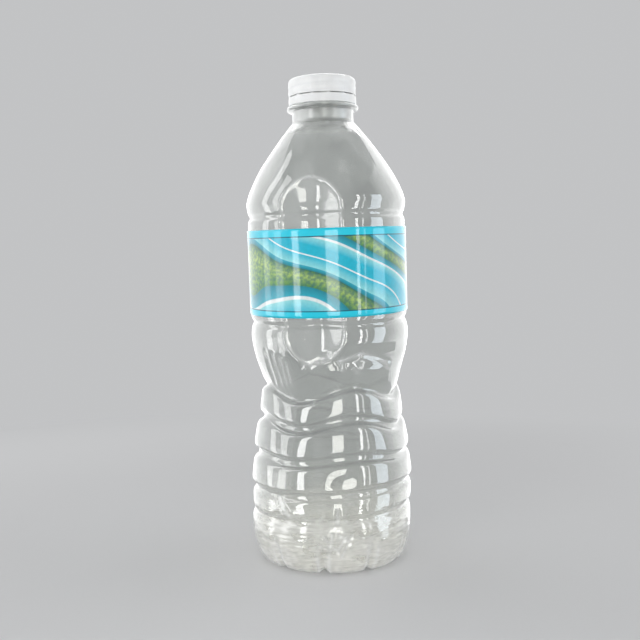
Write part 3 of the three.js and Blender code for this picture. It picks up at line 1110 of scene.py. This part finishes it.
@dataclass
class BlownBottle:
    """The clear bottle: one thin blown wall from its base to its threaded mouth."""

    form: BottleForm
    lean: Lean
    damage: Damage
    plastic: ClearPlastic = field(default_factory=ClearPlastic)
    columns: int = 184
    front_share: float = 0.5
    wall_rows: int = 236
    neck_rows: int = 66
    plain_density: float = 0.55
    turn_density: float = 1.1
    full_turn: float = 0.3
    damage_density: float = 0.9
    damage_spans: tuple = ((90, 9), (148, 9), (11, 8))
    pressed_from: float = 24
    wall: float = 0.25
    neck_thickening: float = 0.9
    thick_from: float = 172
    # painted shade along the grooves' walls: its share, and the steepness over which it eases in
    groove_shade_share: float = 0.42
    groove_shade_slope: tuple[float, float] = (0.5, 0.88)
    neck_milk: float = 0.04
    frost_reach: float = 7
    corner: float = 0.28
    neck_corner: float = 0.14
    fine_step: float = 0.08
    ring_flatness: float = 7
    groove_half: float = 1.1
    flare_handles: tuple[float, float] = (0.25, 0.65)
    flare_start: float = 0.45
    crest_handle: float = 7
    neck_handle: tuple[float, float] = (9, 7.9)
    bead_spread: float = 1.25
    finish_bead_spread: float = 1.4
    bore_end: float = 0.5
    notch_count: int = 10
    notch_depth: float = 2
    notch_half: float = math.radians(5)
    notch_turn: float = math.radians(4.5)
    notch_sharpness: float = 1.3
    # painted highlight: how pale the bands along the notches' edges are made, and where they lie
    notch_painted_highlight: float = 0.6
    notch_highlight_reach: float = 0.8
    notch_highlight_width: float = 0.3
    gate_radius: float = 2.6
    gate_height: float = 0.7
    thread_pitch: float = 2.7
    thread_turns: float = 1.5
    thread_height: float = 0.55
    thread_half: float = 0.62
    thread_drop: float = 5.1
    thread_fade: float = 0.08

    def angles(self) -> Array:
        """Angles of the columns, closest together at the front."""
        even = round_angles(self.columns)
        return even - self.front_share * np.sin(even)

    def base_line(self) -> Array:
        """Half section of the base and heel: height, radius, and the notch's push in and up.

        Returns:
            Points, one to a row.
        """
        form = self.form
        share = np.linspace(0, 1, 60)
        gate = -self.gate_height * bump(share * form.foot_inner / self.gate_radius)
        dome = form.push_up * np.cos(share * math.pi / 2) + gate
        base = np.stack([dome, share * form.foot_inner, 0 * share, self.notch_depth * share**6], axis=1)
        turn = np.linspace(0, math.pi / 2, 60)
        notch = self.notch_depth * np.cos(turn)
        radius = form.foot_outer + (form.barrel - form.foot_outer) * np.sin(turn)
        curve = [form.heel_curve * (1 - np.cos(turn)), radius, notch * np.sin(turn), notch * np.cos(turn)]
        return np.concatenate([base, np.stack(curve, axis=1)])

    def barrel_line(self) -> Array:
        """Half section of the heel's edge and the rings, as height and radius.

        Returns:
            Points, one to a row.
        """
        form = self.form
        rise = np.linspace(0, 1, 40)[1:]
        edge = form.heel_curve + rise * (form.heel - form.heel_curve)
        lines = [np.stack([edge, form.barrel - form.groove_depth * rise**4], axis=1)]
        crests = [form.barrel, *(ring.radius for ring in form.rings)]
        grooves = [min(pair) - form.groove_depth for pair in zip(crests, crests[1:])] + [form.waist_radius]
        low = form.heel
        share = np.linspace(0, 1, 120)
        for ring, below, above in zip(form.rings, grooves, grooves[1:]):
            crown = ring.radius - (below + above) / 2
            off_middle = np.abs(2 * share - 1) / (1 - 2 * self.groove_half / ring.height)
            swell = crown * (1 - np.clip(off_middle, 0, 1) ** self.ring_flatness)
            radius = below + share * (above - below) + swell
            lines.append(np.stack([low + share * ring.height, radius], axis=1))
            low += ring.height
        return np.concatenate(lines)

    def upper_line(self) -> Array:
        """Half section from the waist up to the neck, as height and radius.

        Returns:
            Points, one to a row.
        """
        form = self.form
        waist, low, high = form.waist, form.panel_low, form.panel_high
        rise = form.grip_crest - form.flare_height
        first, second = self.flare_handles
        flare = [
            (waist + form.flare_height, form.flare_radius),
            (waist + form.flare_height + first * rise, (2 * form.flare_radius + form.grip_radius) / 3),
            (waist + form.flare_height + second * rise, form.grip_radius),
            (waist + form.grip_crest, form.grip_radius),
        ]
        neck = (form.shoulder_high, form.neck_radius)
        crest = (high + form.shoulder_crest, form.shoulder_radius)
        down, out = self.neck_handle
        shoulder = [crest, (crest[0] + self.crest_handle, crest[1]), (neck[0] - down, neck[1] + out), neck]
        height = np.linspace(low - form.bead_half, high + form.bead_half, 400)
        reach = self.bead_spread * form.bead_half
        grooves = bump((height - low) / reach) + bump((height - high) / reach)
        panel = np.stack([height, form.panel_radius - form.bead_depth * grooves], axis=1)
        start = self.flare_start * form.waist_radius + (1 - self.flare_start) * form.flare_radius
        halfway = (waist + form.flare_height / 2, start)
        return np.concatenate([[halfway], bezier(flare, 60), panel, bezier(shoulder, 80)])

    def neck_line(self) -> Array:
        """Half section of the neck, its support ring and its mouth, as height and radius.

        Returns:
            Points, one to a row.
        """
        form = self.form
        low, high, edge = form.support_low, form.support_low + form.support, form.support_edge
        bead, swell = form.band_low + form.bead_rise, form.bead_height
        spread = self.finish_bead_spread * swell
        finish, rim = form.finish_radius, form.rim
        return np.array([
            (form.shoulder_high, form.neck_radius),
            (low, form.neck_radius),
            (low + edge / 2, form.support_radius - edge),
            (low + 2 * edge, form.support_radius),
            (high - 2 * edge, form.support_radius),
            (high - edge / 2, form.support_radius - edge),
            (high, finish),
            (bead - spread, finish),
            (bead, finish + swell),
            (bead + spread, finish),
            (rim - form.rim_edge, finish),
            (rim, finish - form.rim_edge),
            (rim, form.bore + form.rim_edge),
            (rim - form.rim_edge, form.bore),
            (form.shoulder_high + self.bore_end, form.bore),
        ])

    def wall_line(self) -> Array:
        """The wall's half section from the base's middle to the neck, rounded and cut into rows.

        Returns:
            Points as height, radius and the notch's push in and up, one to a row.
        """
        upper = np.concatenate([self.barrel_line(), self.upper_line()])
        plain = np.concatenate([upper, np.zeros_like(upper)], axis=1)
        line = even_steps(np.concatenate([self.base_line(), plain]), self.fine_step)
        line = rounded(line, self.corner, self.fine_step)
        height = line[:, 0]
        damaged = np.any([np.abs(height - middle) < half for middle, half in self.damage_spans], axis=0)
        turns = np.clip(curvature(line) / self.full_turn, 0, 1)
        density = self.plain_density + self.turn_density * turns + self.damage_density * damaged
        return thinned(line, density, self.wall_rows)

    def thread(self, height: Array, angle: Array) -> Array:
        """How far the right-hand screw thread, which fades at its ends, stands out from the neck.

        Args:
            height: Heights of the neck's points.
            angle: Angles of the columns.

        Returns:
            Heights of the thread in millimetres.
        """
        out = np.zeros(np.broadcast(height, angle).shape)
        start = self.form.rim - self.thread_drop
        for turn in range(int(self.thread_turns) + 2):
            wound = angle + math.pi + 2 * math.pi * turn
            middle = start + self.thread_pitch * wound / (2 * math.pi)
            share = wound / (2 * math.pi * self.thread_turns)
            fade = smoothstep(0, self.thread_fade, share) * (1 - smoothstep(1 - self.thread_fade, 1, share))
            out = np.maximum(out, fade * bell(height - middle, self.thread_half, 4))
        return self.thread_height * out

    def outer_wall(self, line: Array, angle: Array) -> tuple[Array, Array]:
        """The blown wall's points with the damage in them.

        Args:
            line: Half section with the notch's push in and up.
            angle: Angles of the columns.

        Returns:
            Points in metres by row and column, and how whitened each is, with painted highlights along the
            notches' edges.
        """
        height, radius, notch_in, notch_up = (column[:, None] for column in line.T)
        spacing = 2 * math.pi / self.notch_count
        first = self.damage.dimple_angle + self.notch_turn
        off_notch = np.abs((angle - first + spacing / 2) % spacing - spacing / 2) / self.notch_half
        notch = np.clip(1 - off_notch, 0, None) ** self.notch_sharpness
        depth, white = self.damage.pressed(height, angle)
        pressed = radius > self.pressed_from
        wide = radius - notch * notch_in - np.where(pressed, depth, 0)
        raised = height + notch * notch_up + self.damage.lift(height, wide, angle)
        # painted highlight: pale bands along the notches' edges, standing in for the bright lines that the
        # notch walls catch
        lip = bell(off_notch - self.notch_highlight_reach, self.notch_highlight_width)
        white = np.maximum(white, self.notch_painted_highlight * lip * (notch_in + notch_up) / self.notch_depth)
        return self.lean.carry(raised, wide, angle), white * pressed

    def build(self) -> Piece:
        """Builds the bottle as one closed skin, outside and inside.

        Returns:
            The new piece.
        """
        form = self.form
        angle = self.angles()
        line = self.wall_line()
        outer, white = self.outer_wall(line, angle)
        near_neck = smoothstep(form.shoulder_high - self.frost_reach, form.shoulder_high, line[:, :1])
        white = np.maximum(white, self.neck_milk * near_neck)
        neck_fine = even_steps(self.neck_line(), self.fine_step)
        neck = rounded(neck_fine, self.neck_corner, self.fine_step)
        neck = thinned(neck, 1 + 2 * np.clip(curvature(neck) / 2, 0, 1), self.neck_rows)[1:]
        outside = neck[:, 1:] > (form.bore + form.finish_radius) / 2
        threaded = neck[:, 1:] + outside * self.thread(neck[:, :1], angle)
        neck_rings = self.lean.carry(neck[:, :1], threaded, angle)
        near_top = smoothstep(self.thick_from, form.shoulder_high, line[:, 0])
        thick = self.wall + self.neck_thickening * near_top
        inner = outer - outward(outer) * thick[:, None, None] * MM
        rings = np.concatenate([outer[1:], neck_rings, inner[:0:-1]])
        start, end = outer[0].mean(axis=0), inner[0].mean(axis=0)
        end[2] = start[2] + self.wall * MM
        points = np.concatenate([[start], rings.reshape(-1, 3), [end]])
        piece = mesh_object("blown_bottle", points, ring_faces(len(rings), self.columns))
        # the first share holds stress whitening and the painted notch highlights; the second, painted shade
        # along the grooves
        shares = {
            "stress_and_notch_highlight": (white, self.neck_milk),
            "painted_groove_shade": (self.groove_shade_and_smudge(line), 0),
            "frost": (near_neck, 1),
        }
        for name, (wall_share, neck_share) in shares.items():
            share = np.broadcast_to(wall_share, white.shape)
            neck_rows = np.full((len(neck_rings), self.columns), neck_share)
            mark_rings(piece, name, np.concatenate([share[1:], neck_rows, share[:0:-1]]))
        return piece

    def groove_shade_and_smudge(self, line: Array) -> Array:
        """How much painted shade darkens each row of the wall: most in the steep walls of the grooves.

        Args:
            line: The wall's half section.

        Returns:
            A share from 0 to 1 for each row.
        """
        steps = np.gradient(line[:, :2], axis=0)
        steep = np.abs(steps[:, 1]) / np.hypot(*steps.T)
        height = line[:, 0]
        ribbed = (height > self.form.heel_curve) & (height < self.form.panel_high + 2 * self.form.bead_half)
        return (self.groove_shade_share * smoothstep(*self.groove_shade_slope, steep) * ribbed)[:, None]

    def dress(self, piece: Piece) -> Piece:
        """Gives the bottle its finish and its place."""
        piece.data.materials.append(self.plastic.material())
        return settle(piece, "bottle_body", Body.BOTTLE)


@dataclass
class ScrewCap:
    """The ribbed screw cap with its inner thread and plug seal."""

    form: BottleForm
    lean: Lean
    plastic: bpy.types.Material
    columns: int = 480
    wall: float = 0.65
    edge: float = 1.2
    rib_count: int = 60
    rib_height: float = 0.03
    rib_margin: float = 0.7
    rib_fade: float = 0.3
    rib_end: float = 0.4
    rib_sharpness: float = 0.8
    side_depth: float = 0.8
    plug_depth: float = 1.8
    plug_wall: float = 0.8
    corner: float = 0.13
    fine_step: float = 0.05
    rows: int = 150
    thread_pitch: float = 2.7
    thread_height: float = 0.22
    thread_half: float = 0.5
    thread_start: tuple[float, float] = (0.6, 1.4)
    thread_end: float = 0.5
    bore_reach: float = 0.2
    ghost: float = 0.06
    ghost_share: float = 0.5
    ghost_sharpness: int = 6
    ghost_middle: float = 0.6
    ghost_swing: Wave = Wave(0, 1, 0.3, 0.4)
    gate_radius: float = 1.1
    gate_depth: float = 0.25

    def line(self) -> Array:
        """Half section from the middle of the underside round to the middle of the top.

        Returns:
            Points as height and radius, one to a row.
        """
        form = self.form
        bore = self.bore
        side = bore + self.wall
        low, high = form.cap_low, form.cap_high
        under = high - form.cap_top
        plug = form.bore - form.fit
        turn = np.linspace(0, math.pi / 2, 24)
        edge_height = high - self.edge * (1 - np.sin(turn))
        edge_radius = side - self.edge * (1 - np.cos(turn))
        edge = np.stack([edge_height, edge_radius], axis=1)
        inside = [
            (under, 0),
            (under, plug - self.plug_wall),
            (under - self.plug_depth, plug - self.plug_wall),
            (under - self.plug_depth, plug),
            (under, plug),
            (under, bore),
            (low, bore),
            (low, side),
        ]
        gate = high - self.gate_depth
        top = [(high, self.gate_radius * 2), (gate, self.gate_radius), (gate, 0)]
        line = even_steps(np.concatenate([inside, edge, top]), self.fine_step)
        line = rounded(line, self.corner, self.fine_step)
        return thinned(line, 0.5 + np.clip(curvature(line) / 2, 0, 1), self.rows)

    @property
    def bore(self) -> float:
        """Radius of the cap's inside."""
        return self.form.finish_radius + self.form.thread_room + self.form.fit

    def on_side(self, line: Array) -> Array:
        """1 on the ribbed part of the cap's side, easing to 0 at its two ends.

        Args:
            line: The cap's half section.

        Returns:
            A share for each row.
        """
        height, radius = line[:, :1], line[:, 1:2]
        low, high = self.form.cap_low + self.rib_margin, self.form.cap_high - self.edge
        fade = self.rib_fade
        window = smoothstep(low - fade, low + fade, height)
        window = window * (1 - smoothstep(high - fade, high + self.rib_end, height))
        return window * (radius > self.bore + self.side_depth * self.wall)

    def wound(self, line: Array, angle: Array) -> Array:
        """How many thread pitches each point lies above the thread's start."""
        return line[:, :1] / self.thread_pitch - (angle + math.pi) / (2 * math.pi)

    def relief(self, line: Array, angle: Array) -> Array:
        """What stands out of the plain turned cap: ribs, the thread's ghost and the thread itself.

        Args:
            line: The cap's half section.
            angle: Angles of the columns.

        Returns:
            Millimetres by row and column.
        """
        form = self.form
        height, radius = line[:, :1], line[:, 1:2]
        ribs = self.rib_height * (0.5 + 0.5 * np.cos(self.rib_count * angle)) ** self.rib_sharpness
        wound = self.wound(line, angle)
        ghost = self.ghost * np.cos(2 * math.pi * wound)
        below_top = height < form.cap_high - form.cap_top - self.thread_end
        in_bore = (np.abs(radius - self.bore) < self.bore_reach) & below_top
        ridge = bell(((wound % 1) - 0.5) * self.thread_pitch, self.thread_half, 4)
        inner_window = smoothstep(*self.thread_start, height - form.cap_low)
        return self.on_side(line) * (ribs + ghost) - in_bore * inner_window * self.thread_height * ridge

    def ghosted(self, line: Array, angle: Array) -> Array:
        """How much the thread inside darkens each point of the cap's side.

        Args:
            line: The cap's half section.
            angle: Angles of the columns.

        Returns:
            Shares by row and column.
        """
        streak = (0.5 - 0.5 * np.cos(2 * math.pi * self.wound(line, angle))) ** self.ghost_sharpness
        fading = self.ghost_middle - self.ghost_swing.at(0, angle)
        return self.ghost_share * self.on_side(line) * streak * fading

    def build(self) -> Piece:
        """Builds the cap as one closed skin.

        Returns:
            The new piece.
        """
        line = self.line()
        angle = round_angles(self.columns)
        rings = self.lean.carry(line[:, :1], line[:, 1:2] + self.relief(line, angle), angle)
        start, end = rings[0].mean(axis=0), rings[-1].mean(axis=0)
        points = np.concatenate([[start], rings[1:-1].reshape(-1, 3), [end]])
        piece = mesh_object("screw_cap_moulding", points, ring_faces(len(rings) - 2, self.columns))
        mark_rings(piece, "ghost", self.ghosted(line, angle)[1:-1])
        return piece

    def dress(self, piece: Piece) -> Piece:
        """Gives the cap its finish and its place."""
        piece.data.materials.append(self.plastic)
        return settle(piece, "screw_cap", Body.CAP)


@dataclass
class TamperBand:
    """The band left on the neck, with the stubs of its broken bridges along its upper edge."""

    form: BottleForm
    lean: Lean
    plastic: bpy.types.Material
    columns: int = 520
    wall: float = 0.85
    lip_height: float = 0.9
    stub_count: int = 13
    stub_first: float = math.radians(9.9)
    stub_width: float = 1
    stub_sides: tuple[float, float] = (0.4, 0.62)
    stub_rise: float = 0.44
    edge_rise: float = 0.15
    top_reach: tuple[float, float] = (-0.08, -0.01)
    skirt: float = 0.3
    corner: float = 0.1
    fine_step: float = 0.05
    rows: int = 44

    def line(self) -> Array:
        """Closed section of the band, as height and radius, from its lip round.

        Returns:
            Points, one to a row.
        """
        form = self.form
        inside = form.finish_radius + form.bead_height + form.fit
        outside = inside + self.wall
        lip = form.finish_radius + form.fit
        low, high = form.band_low - self.skirt, form.band_high
        lip_high = low + self.lip_height
        corners = [(low, lip), (low, outside), (high, outside), (high, inside), (lip_high, inside)]
        line = even_steps(np.array([*corners, corners[0]]), self.fine_step)
        count = len(line)
        thrice = rounded(np.concatenate([line[:-1], line[:-1], line]), self.corner, self.fine_step)
        middle = thrice[count - 1 : 2 * count - 1]
        return thinned(middle, 0.6 + np.clip(curvature(middle) / 2, 0, 1), self.rows + 1)[:-1]

    def build(self) -> Piece:
        """Builds the band as one closed ring.

        Returns:
            The new piece.
        """
        form = self.form
        line = self.line()
        angle = round_angles(self.columns)
        spacing = 2 * math.pi / self.stub_count
        away = np.abs((angle - self.stub_first + spacing / 2) % spacing - spacing / 2) * form.finish_radius
        stub = 1 - smoothstep(*self.stub_sides, away / self.stub_width)
        on_top = smoothstep(*self.top_reach, line[:, :1] - form.band_high)
        height = line[:, :1] + (self.edge_rise + (self.stub_rise - self.edge_rise) * stub) * on_top
        rings = self.lean.carry(height, line[:, 1:2], angle)
        return mesh_object("tamper_band_ring", rings.reshape(-1, 3), loop_faces(len(rings), self.columns))

    def dress(self, piece: Piece) -> Piece:
        """Gives the band its finish and its place."""
        piece.data.materials.append(self.plastic)
        return settle(piece, "tamper_band", Body.BOTTLE)


@dataclass
class FilmLabel:
    """The printed film, wound round the panel so that its ends overlap at the back."""

    form: BottleForm
    lean: Lean
    back: FilmBack = field(default_factory=FilmBack)
    film: float = 0.08
    ease: float = 0.02
    overlap: float = math.radians(18)
    step_out: float = 0.12
    columns: int = 420
    rows: int = 34
    ripple: float = 0.05
    curl_reach: float = 0.08
    curl: float = 0.5
    curl_waves: tuple[Wave, ...] = (Wave(0, 7, 0.8, 0.3), Wave(3, 17, 0, 0.2))
    slack: float = 0.3
    slack_wave: Wave = Wave(4, 5)

    @property
    def turn(self) -> float:
        """Angle that the film covers."""
        return 2 * math.pi + self.overlap

    @property
    def inside(self) -> float:
        """Radius of the film's inner side where it starts."""
        return self.form.panel_radius + self.form.fit + self.ease

    def sides(self) -> tuple[Array, Array]:
        """Points of the inner and the outer side in metres, by row and column.

        Returns:
            The inner and the outer points.
        """
        share = np.linspace(0, 1, self.columns)[None, :]
        up = np.linspace(0, 1, self.rows)[:, None]
        angle = math.pi - self.overlap / 2 + share * self.turn
        height = self.form.label_low + up * self.form.label
        near_edge = np.exp(-up / self.curl_reach) + np.exp(-(1 - up) / self.curl_reach)
        curl = self.curl + summed(self.curl_waves, up, angle)
        slack = self.slack * (1 + self.slack_wave.at(up, angle)) / 2
        radius = self.inside + self.step_out * share + self.ripple * (near_edge * curl + slack)
        inner = self.lean.carry(height, radius, angle)
        return inner, self.lean.carry(height, radius + self.film, angle)

    def faces(self) -> list[tuple[int, ...]]:
        """Faces of the film: its outer side first, then its inner side and its four edges.

        Returns:
            Vertex numbers of each face.
        """
        rows, columns = self.rows, self.columns
        inner = np.arange(rows * columns).reshape(rows, columns)
        outer = inner + rows * columns

        def quads(a: Array, b: Array, c: Array, d: Array) -> list[tuple[int, ...]]:
            """Faces from four grids of corners."""
            return [tuple(q) for q in np.stack([a, b, c, d], axis=-1).reshape(-1, 4).tolist()]

        faces = quads(outer[:-1, :-1], outer[:-1, 1:], outer[1:, 1:], outer[1:, :-1])
        faces += quads(inner[:-1, :-1], inner[1:, :-1], inner[1:, 1:], inner[:-1, 1:])
        faces += quads(inner[0, :-1], inner[0, 1:], outer[0, 1:], outer[0, :-1])
        faces += quads(outer[-1, :-1], outer[-1, 1:], inner[-1, 1:], inner[-1, :-1])
        faces += quads(inner[:-1, 0], outer[:-1, 0], outer[1:, 0], inner[1:, 0])
        faces += quads(outer[:-1, -1], inner[:-1, -1], inner[1:, -1], outer[1:, -1])
        return faces

    def build(self) -> Piece:
        """Builds the film as one closed thin sheet, with its flat shape as texture coordinates.

        Returns:
            The new piece.
        """
        inner, outer = self.sides()
        points = np.concatenate([inner.reshape(-1, 3), outer.reshape(-1, 3)])
        piece = mesh_object("film_label", points, self.faces())
        share, up = np.meshgrid(np.linspace(0, 1, self.columns), np.linspace(0, 1, self.rows))
        flat = np.stack([share.ravel(), up.ravel()], axis=1)
        corner = np.zeros(len(piece.data.loops), np.int32)
        piece.data.loops.foreach_get("vertex_index", corner)
        layer = piece.data.uv_layers.new(name="flat")
        layer.data.foreach_set("uv", np.concatenate([flat, flat])[corner].astype(np.float32).ravel())
        printed = (self.rows - 1) * (self.columns - 1)
        side = (np.arange(len(piece.data.polygons)) >= printed).astype(np.int32)
        piece.data.polygons.foreach_set("material_index", side)
        return piece

    def dress(self, piece: Piece) -> Piece:
        """Gives the film its print, its plain back and its place.

        Args:
            piece: The film.

        Returns:
            The same piece.
        """
        print_side = PrintedFilm(length=self.inside * self.turn, height=self.form.label)
        piece.data.materials.append(print_side.material())
        piece.data.materials.append(self.back.material())
        return settle(piece, "wrap_label", Body.BOTTLE)


@dataclass(frozen=True)
class Softbox:
    """A light panel that faces the bottle: its direction and width in degrees, its glow, tint and reach."""

    name: str
    azimuth: float
    width: float
    glow: float
    tint: tuple = (1, 1, 1)
    low: float = -0.13
    high: float = 0.34
    distance: float = 0.46
    elevation: float = 0
    shine: Shine = Shine.MIRROR

    def build(self, axis: Array) -> None:
        """Hangs the panel.

        Args:
            axis: Where the bottle stands, in metres.
        """
        lamp = bpy.data.lights.new(self.name, "AREA")
        lamp.shape = "RECTANGLE"
        lamp.size = 2 * self.distance * math.tan(math.radians(self.width) / 2)
        lamp.size_y = self.high - self.low
        lamp.energy = self.glow * math.pi * lamp.size * lamp.size_y
        lamp.color = self.tint
        made = bpy.data.objects.new(self.name, lamp)
        turn, rise = math.radians(self.azimuth), math.radians(self.elevation)
        out = Vector((math.sin(turn) * math.cos(rise), -math.cos(turn) * math.cos(rise), math.sin(rise)))
        made.location = Vector((*axis, (self.low + self.high) / 2)) + out * self.distance
        made.rotation_euler = out.to_track_quat("Z", "Y").to_euler()
        made.visible_camera = False
        made.visible_transmission = False
        made.visible_diffuse, made.visible_glossy = self.shine.value
        bpy.context.scene.collection.objects.link(made)


@dataclass
class Studio:
    """The plain pale floor, the surround, the soft lights and the camera."""

    lean: Lean
    surround: float = 0.55
    surround_light: float = 0.3
    surround_tint: tuple = (0.985, 0.995, 1.01)
    floor_colour: tuple = (0.68, 0.682, 0.687, 1)
    floor_size: float = 6
    floor_drop: float = 0.05
    speck_scale: float = 900
    speck_shade: float = 0.97
    fade_start: float = 0.12
    fade_end: float = 0.5
    lens: float = 43.65
    sensor: float = 36
    camera_from_axis: tuple[float, float, float] = (-4.5, -325.5, 97.5)
    camera_roll: float = math.radians(-0.35)
    near_clip: float = 0.01
    softboxes: tuple[Softbox, ...] = (
        Softbox("left_wall", -122, 112, 1.75, high=0.75, distance=0.52),
        Softbox("left_fade", -61, 9, 0.8, high=0.65),
        Softbox("left_window", -94, 12, 4.0, high=0.75),
        Softbox("left_pane", -71, 12, 4.2, high=0.65),
        Softbox("left_low", -80, 34, 1.3, high=0.06, distance=0.5),
        Softbox("key", -44, 9.5, 11),
        Softbox("front", 6, 17, 9, (1, 1, 0.95), high=0.17),
        Softbox("slit", 42, 4.5, 11),
        Softbox("thin_slit", 52, 2.5, 6),
        Softbox("cool_window", 75, 20, 6, (0.82, 0.91, 1)),
        *(
            Softbox(f"right_fade_{step}", 76 + 6 * step, 6, 0.32 * step, high=0.65, distance=0.52)
            for step in range(1, 7)
        ),
        Softbox("right_wall", 143, 56, 2.1, high=0.65, distance=0.52),
        Softbox("crown", 180, 60, 6, low=0, high=0.25, distance=0.55, elevation=64),
        Softbox("front_fill", -14, 70, 1.7, shine=Shine.FILL),
        Softbox("right_fill", 104, 60, 1.15, shine=Shine.FILL),
        Softbox("back_fill", -136, 80, 1.15, shine=Shine.FILL),
        Softbox("top_fill", 0, 60, 1.4, low=-0.1, high=0.5, distance=0.6, elevation=85, shine=Shine.FILL),
    )

    def tone(self, strength: float) -> tuple:
        """A near-neutral tone of the given strength."""
        return (*(strength * part for part in self.surround_tint), 1)

    def seen(self, sheet: NodeSheet) -> Socket:
        """1 for the rays that show the surround itself: camera, mirror and clear-wall rays.

        Args:
            sheet: The surround's nodes.

        Returns:
            The socket of that share.
        """
        path = sheet.add("LightPath").outputs
        both = sheet.math("MAXIMUM", path["Is Camera Ray"], path["Is Glossy Ray"])
        return sheet.math("MAXIMUM", both, path["Is Transmission Ray"])

    def build_surround(self) -> None:
        """A plain surround, as pale as the floor where it is seen."""
        world = bpy.data.worlds.new("surround")
        bpy.context.scene.world = world
        sheet = NodeSheet(world)
        light = sheet.add("Background", {"Color": self.tone(1), "Strength": self.surround_light}).outputs[0]
        shown = sheet.add("Background", {"Color": self.tone(self.surround), "Strength": 1.0}).outputs[0]
        sheet.finish(sheet.add("MixShader", {0: self.seen(sheet), 1: light, 2: shown}).outputs[0])

    def build_floor(self) -> None:
        """A pale floor that takes the shadow and passes into the surround further out."""
        half = self.floor_size / 2
        corners = np.array([(-half, -half, 0), (half, -half, 0), (half, half, 0), (-half, half, 0)])
        floor = mesh_object("studio_floor", corners - [0, 0, self.floor_drop * MM], [(0, 1, 2, 3)])
        sheet = NodeSheet.fresh("pale_floor")
        place = sheet.place()
        away = sheet.add("VectorMath", {0: place}, operation="LENGTH").outputs["Value"]
        shade = tuple(self.speck_shade * part for part in self.floor_colour)
        speck = sheet.layer(sheet.noise(place, self.speck_scale), self.floor_colour, shade)
        paint = sheet.add("BsdfDiffuse", {"Color": speck}).outputs[0]
        glow = sheet.add("Emission", {"Color": self.tone(self.surround), "Strength": 1.0}).outputs[0]
        fade = sheet.ease(away, self.fade_start, self.fade_end)
        shader = sheet.add("MixShader", {0: fade, 1: paint, 2: glow}).outputs[0]
        floor.data.materials.append(sheet.finish(shader))
        floor.visible_glossy = False

    def build_camera(self) -> None:
        """The camera at the photograph's angle."""
        data = bpy.data.cameras.new("camera")
        data.sensor_width = self.sensor
        data.lens = self.lens
        data.clip_start = self.near_clip
        camera = bpy.data.objects.new("camera", data)
        foot = Vector((*self.lean.axis_foot, 0))
        upright = Matrix.Rotation(math.pi / 2, 4, "X") @ Matrix.Rotation(self.camera_roll, 4, "Z")
        camera.matrix_world = Matrix.Translation((Vector(self.camera_from_axis) + foot) * MM) @ upright
        bpy.context.scene.collection.objects.link(camera)
        bpy.context.scene.camera = camera

    def build(self) -> None:
        """Sets up the whole studio."""
        self.build_camera()
        self.build_surround()
        self.build_floor()
        axis = self.lean.axis_foot * MM
        for softbox in self.softboxes:
            softbox.build(axis)
        bpy.context.scene.view_settings.view_transform = "Standard"


def build_pieces(form: BottleForm, lean: Lean) -> None:
    """Builds and dresses every piece of the bottle.

    Args:
        form: Sizes of the straight bottle.
        lean: The bend that carries it over.
    """
    white = MouldedWhite().material()
    makers = [
        BlownBottle(form, lean, Damage(form)),
        ScrewCap(form, lean, white),
        TamperBand(form, lean, white),
        FilmLabel(form, lean),
    ]
    for maker in makers:
        piece = maker.dress(maker.build())
        piece.data.calc_loop_triangles()
        log.info("%s: %d triangles", piece.name, len(piece.data.loop_triangles))


def main() -> None:
    """Builds the studio and the bottle's pieces."""
    logging.basicConfig(level=logging.INFO, format="%(name)s: %(message)s")
    form = BottleForm()
    lean = Lean(form)
    Studio(lean).build()
    build_pieces(form, lean)


if __name__ == "__main__":
    main()
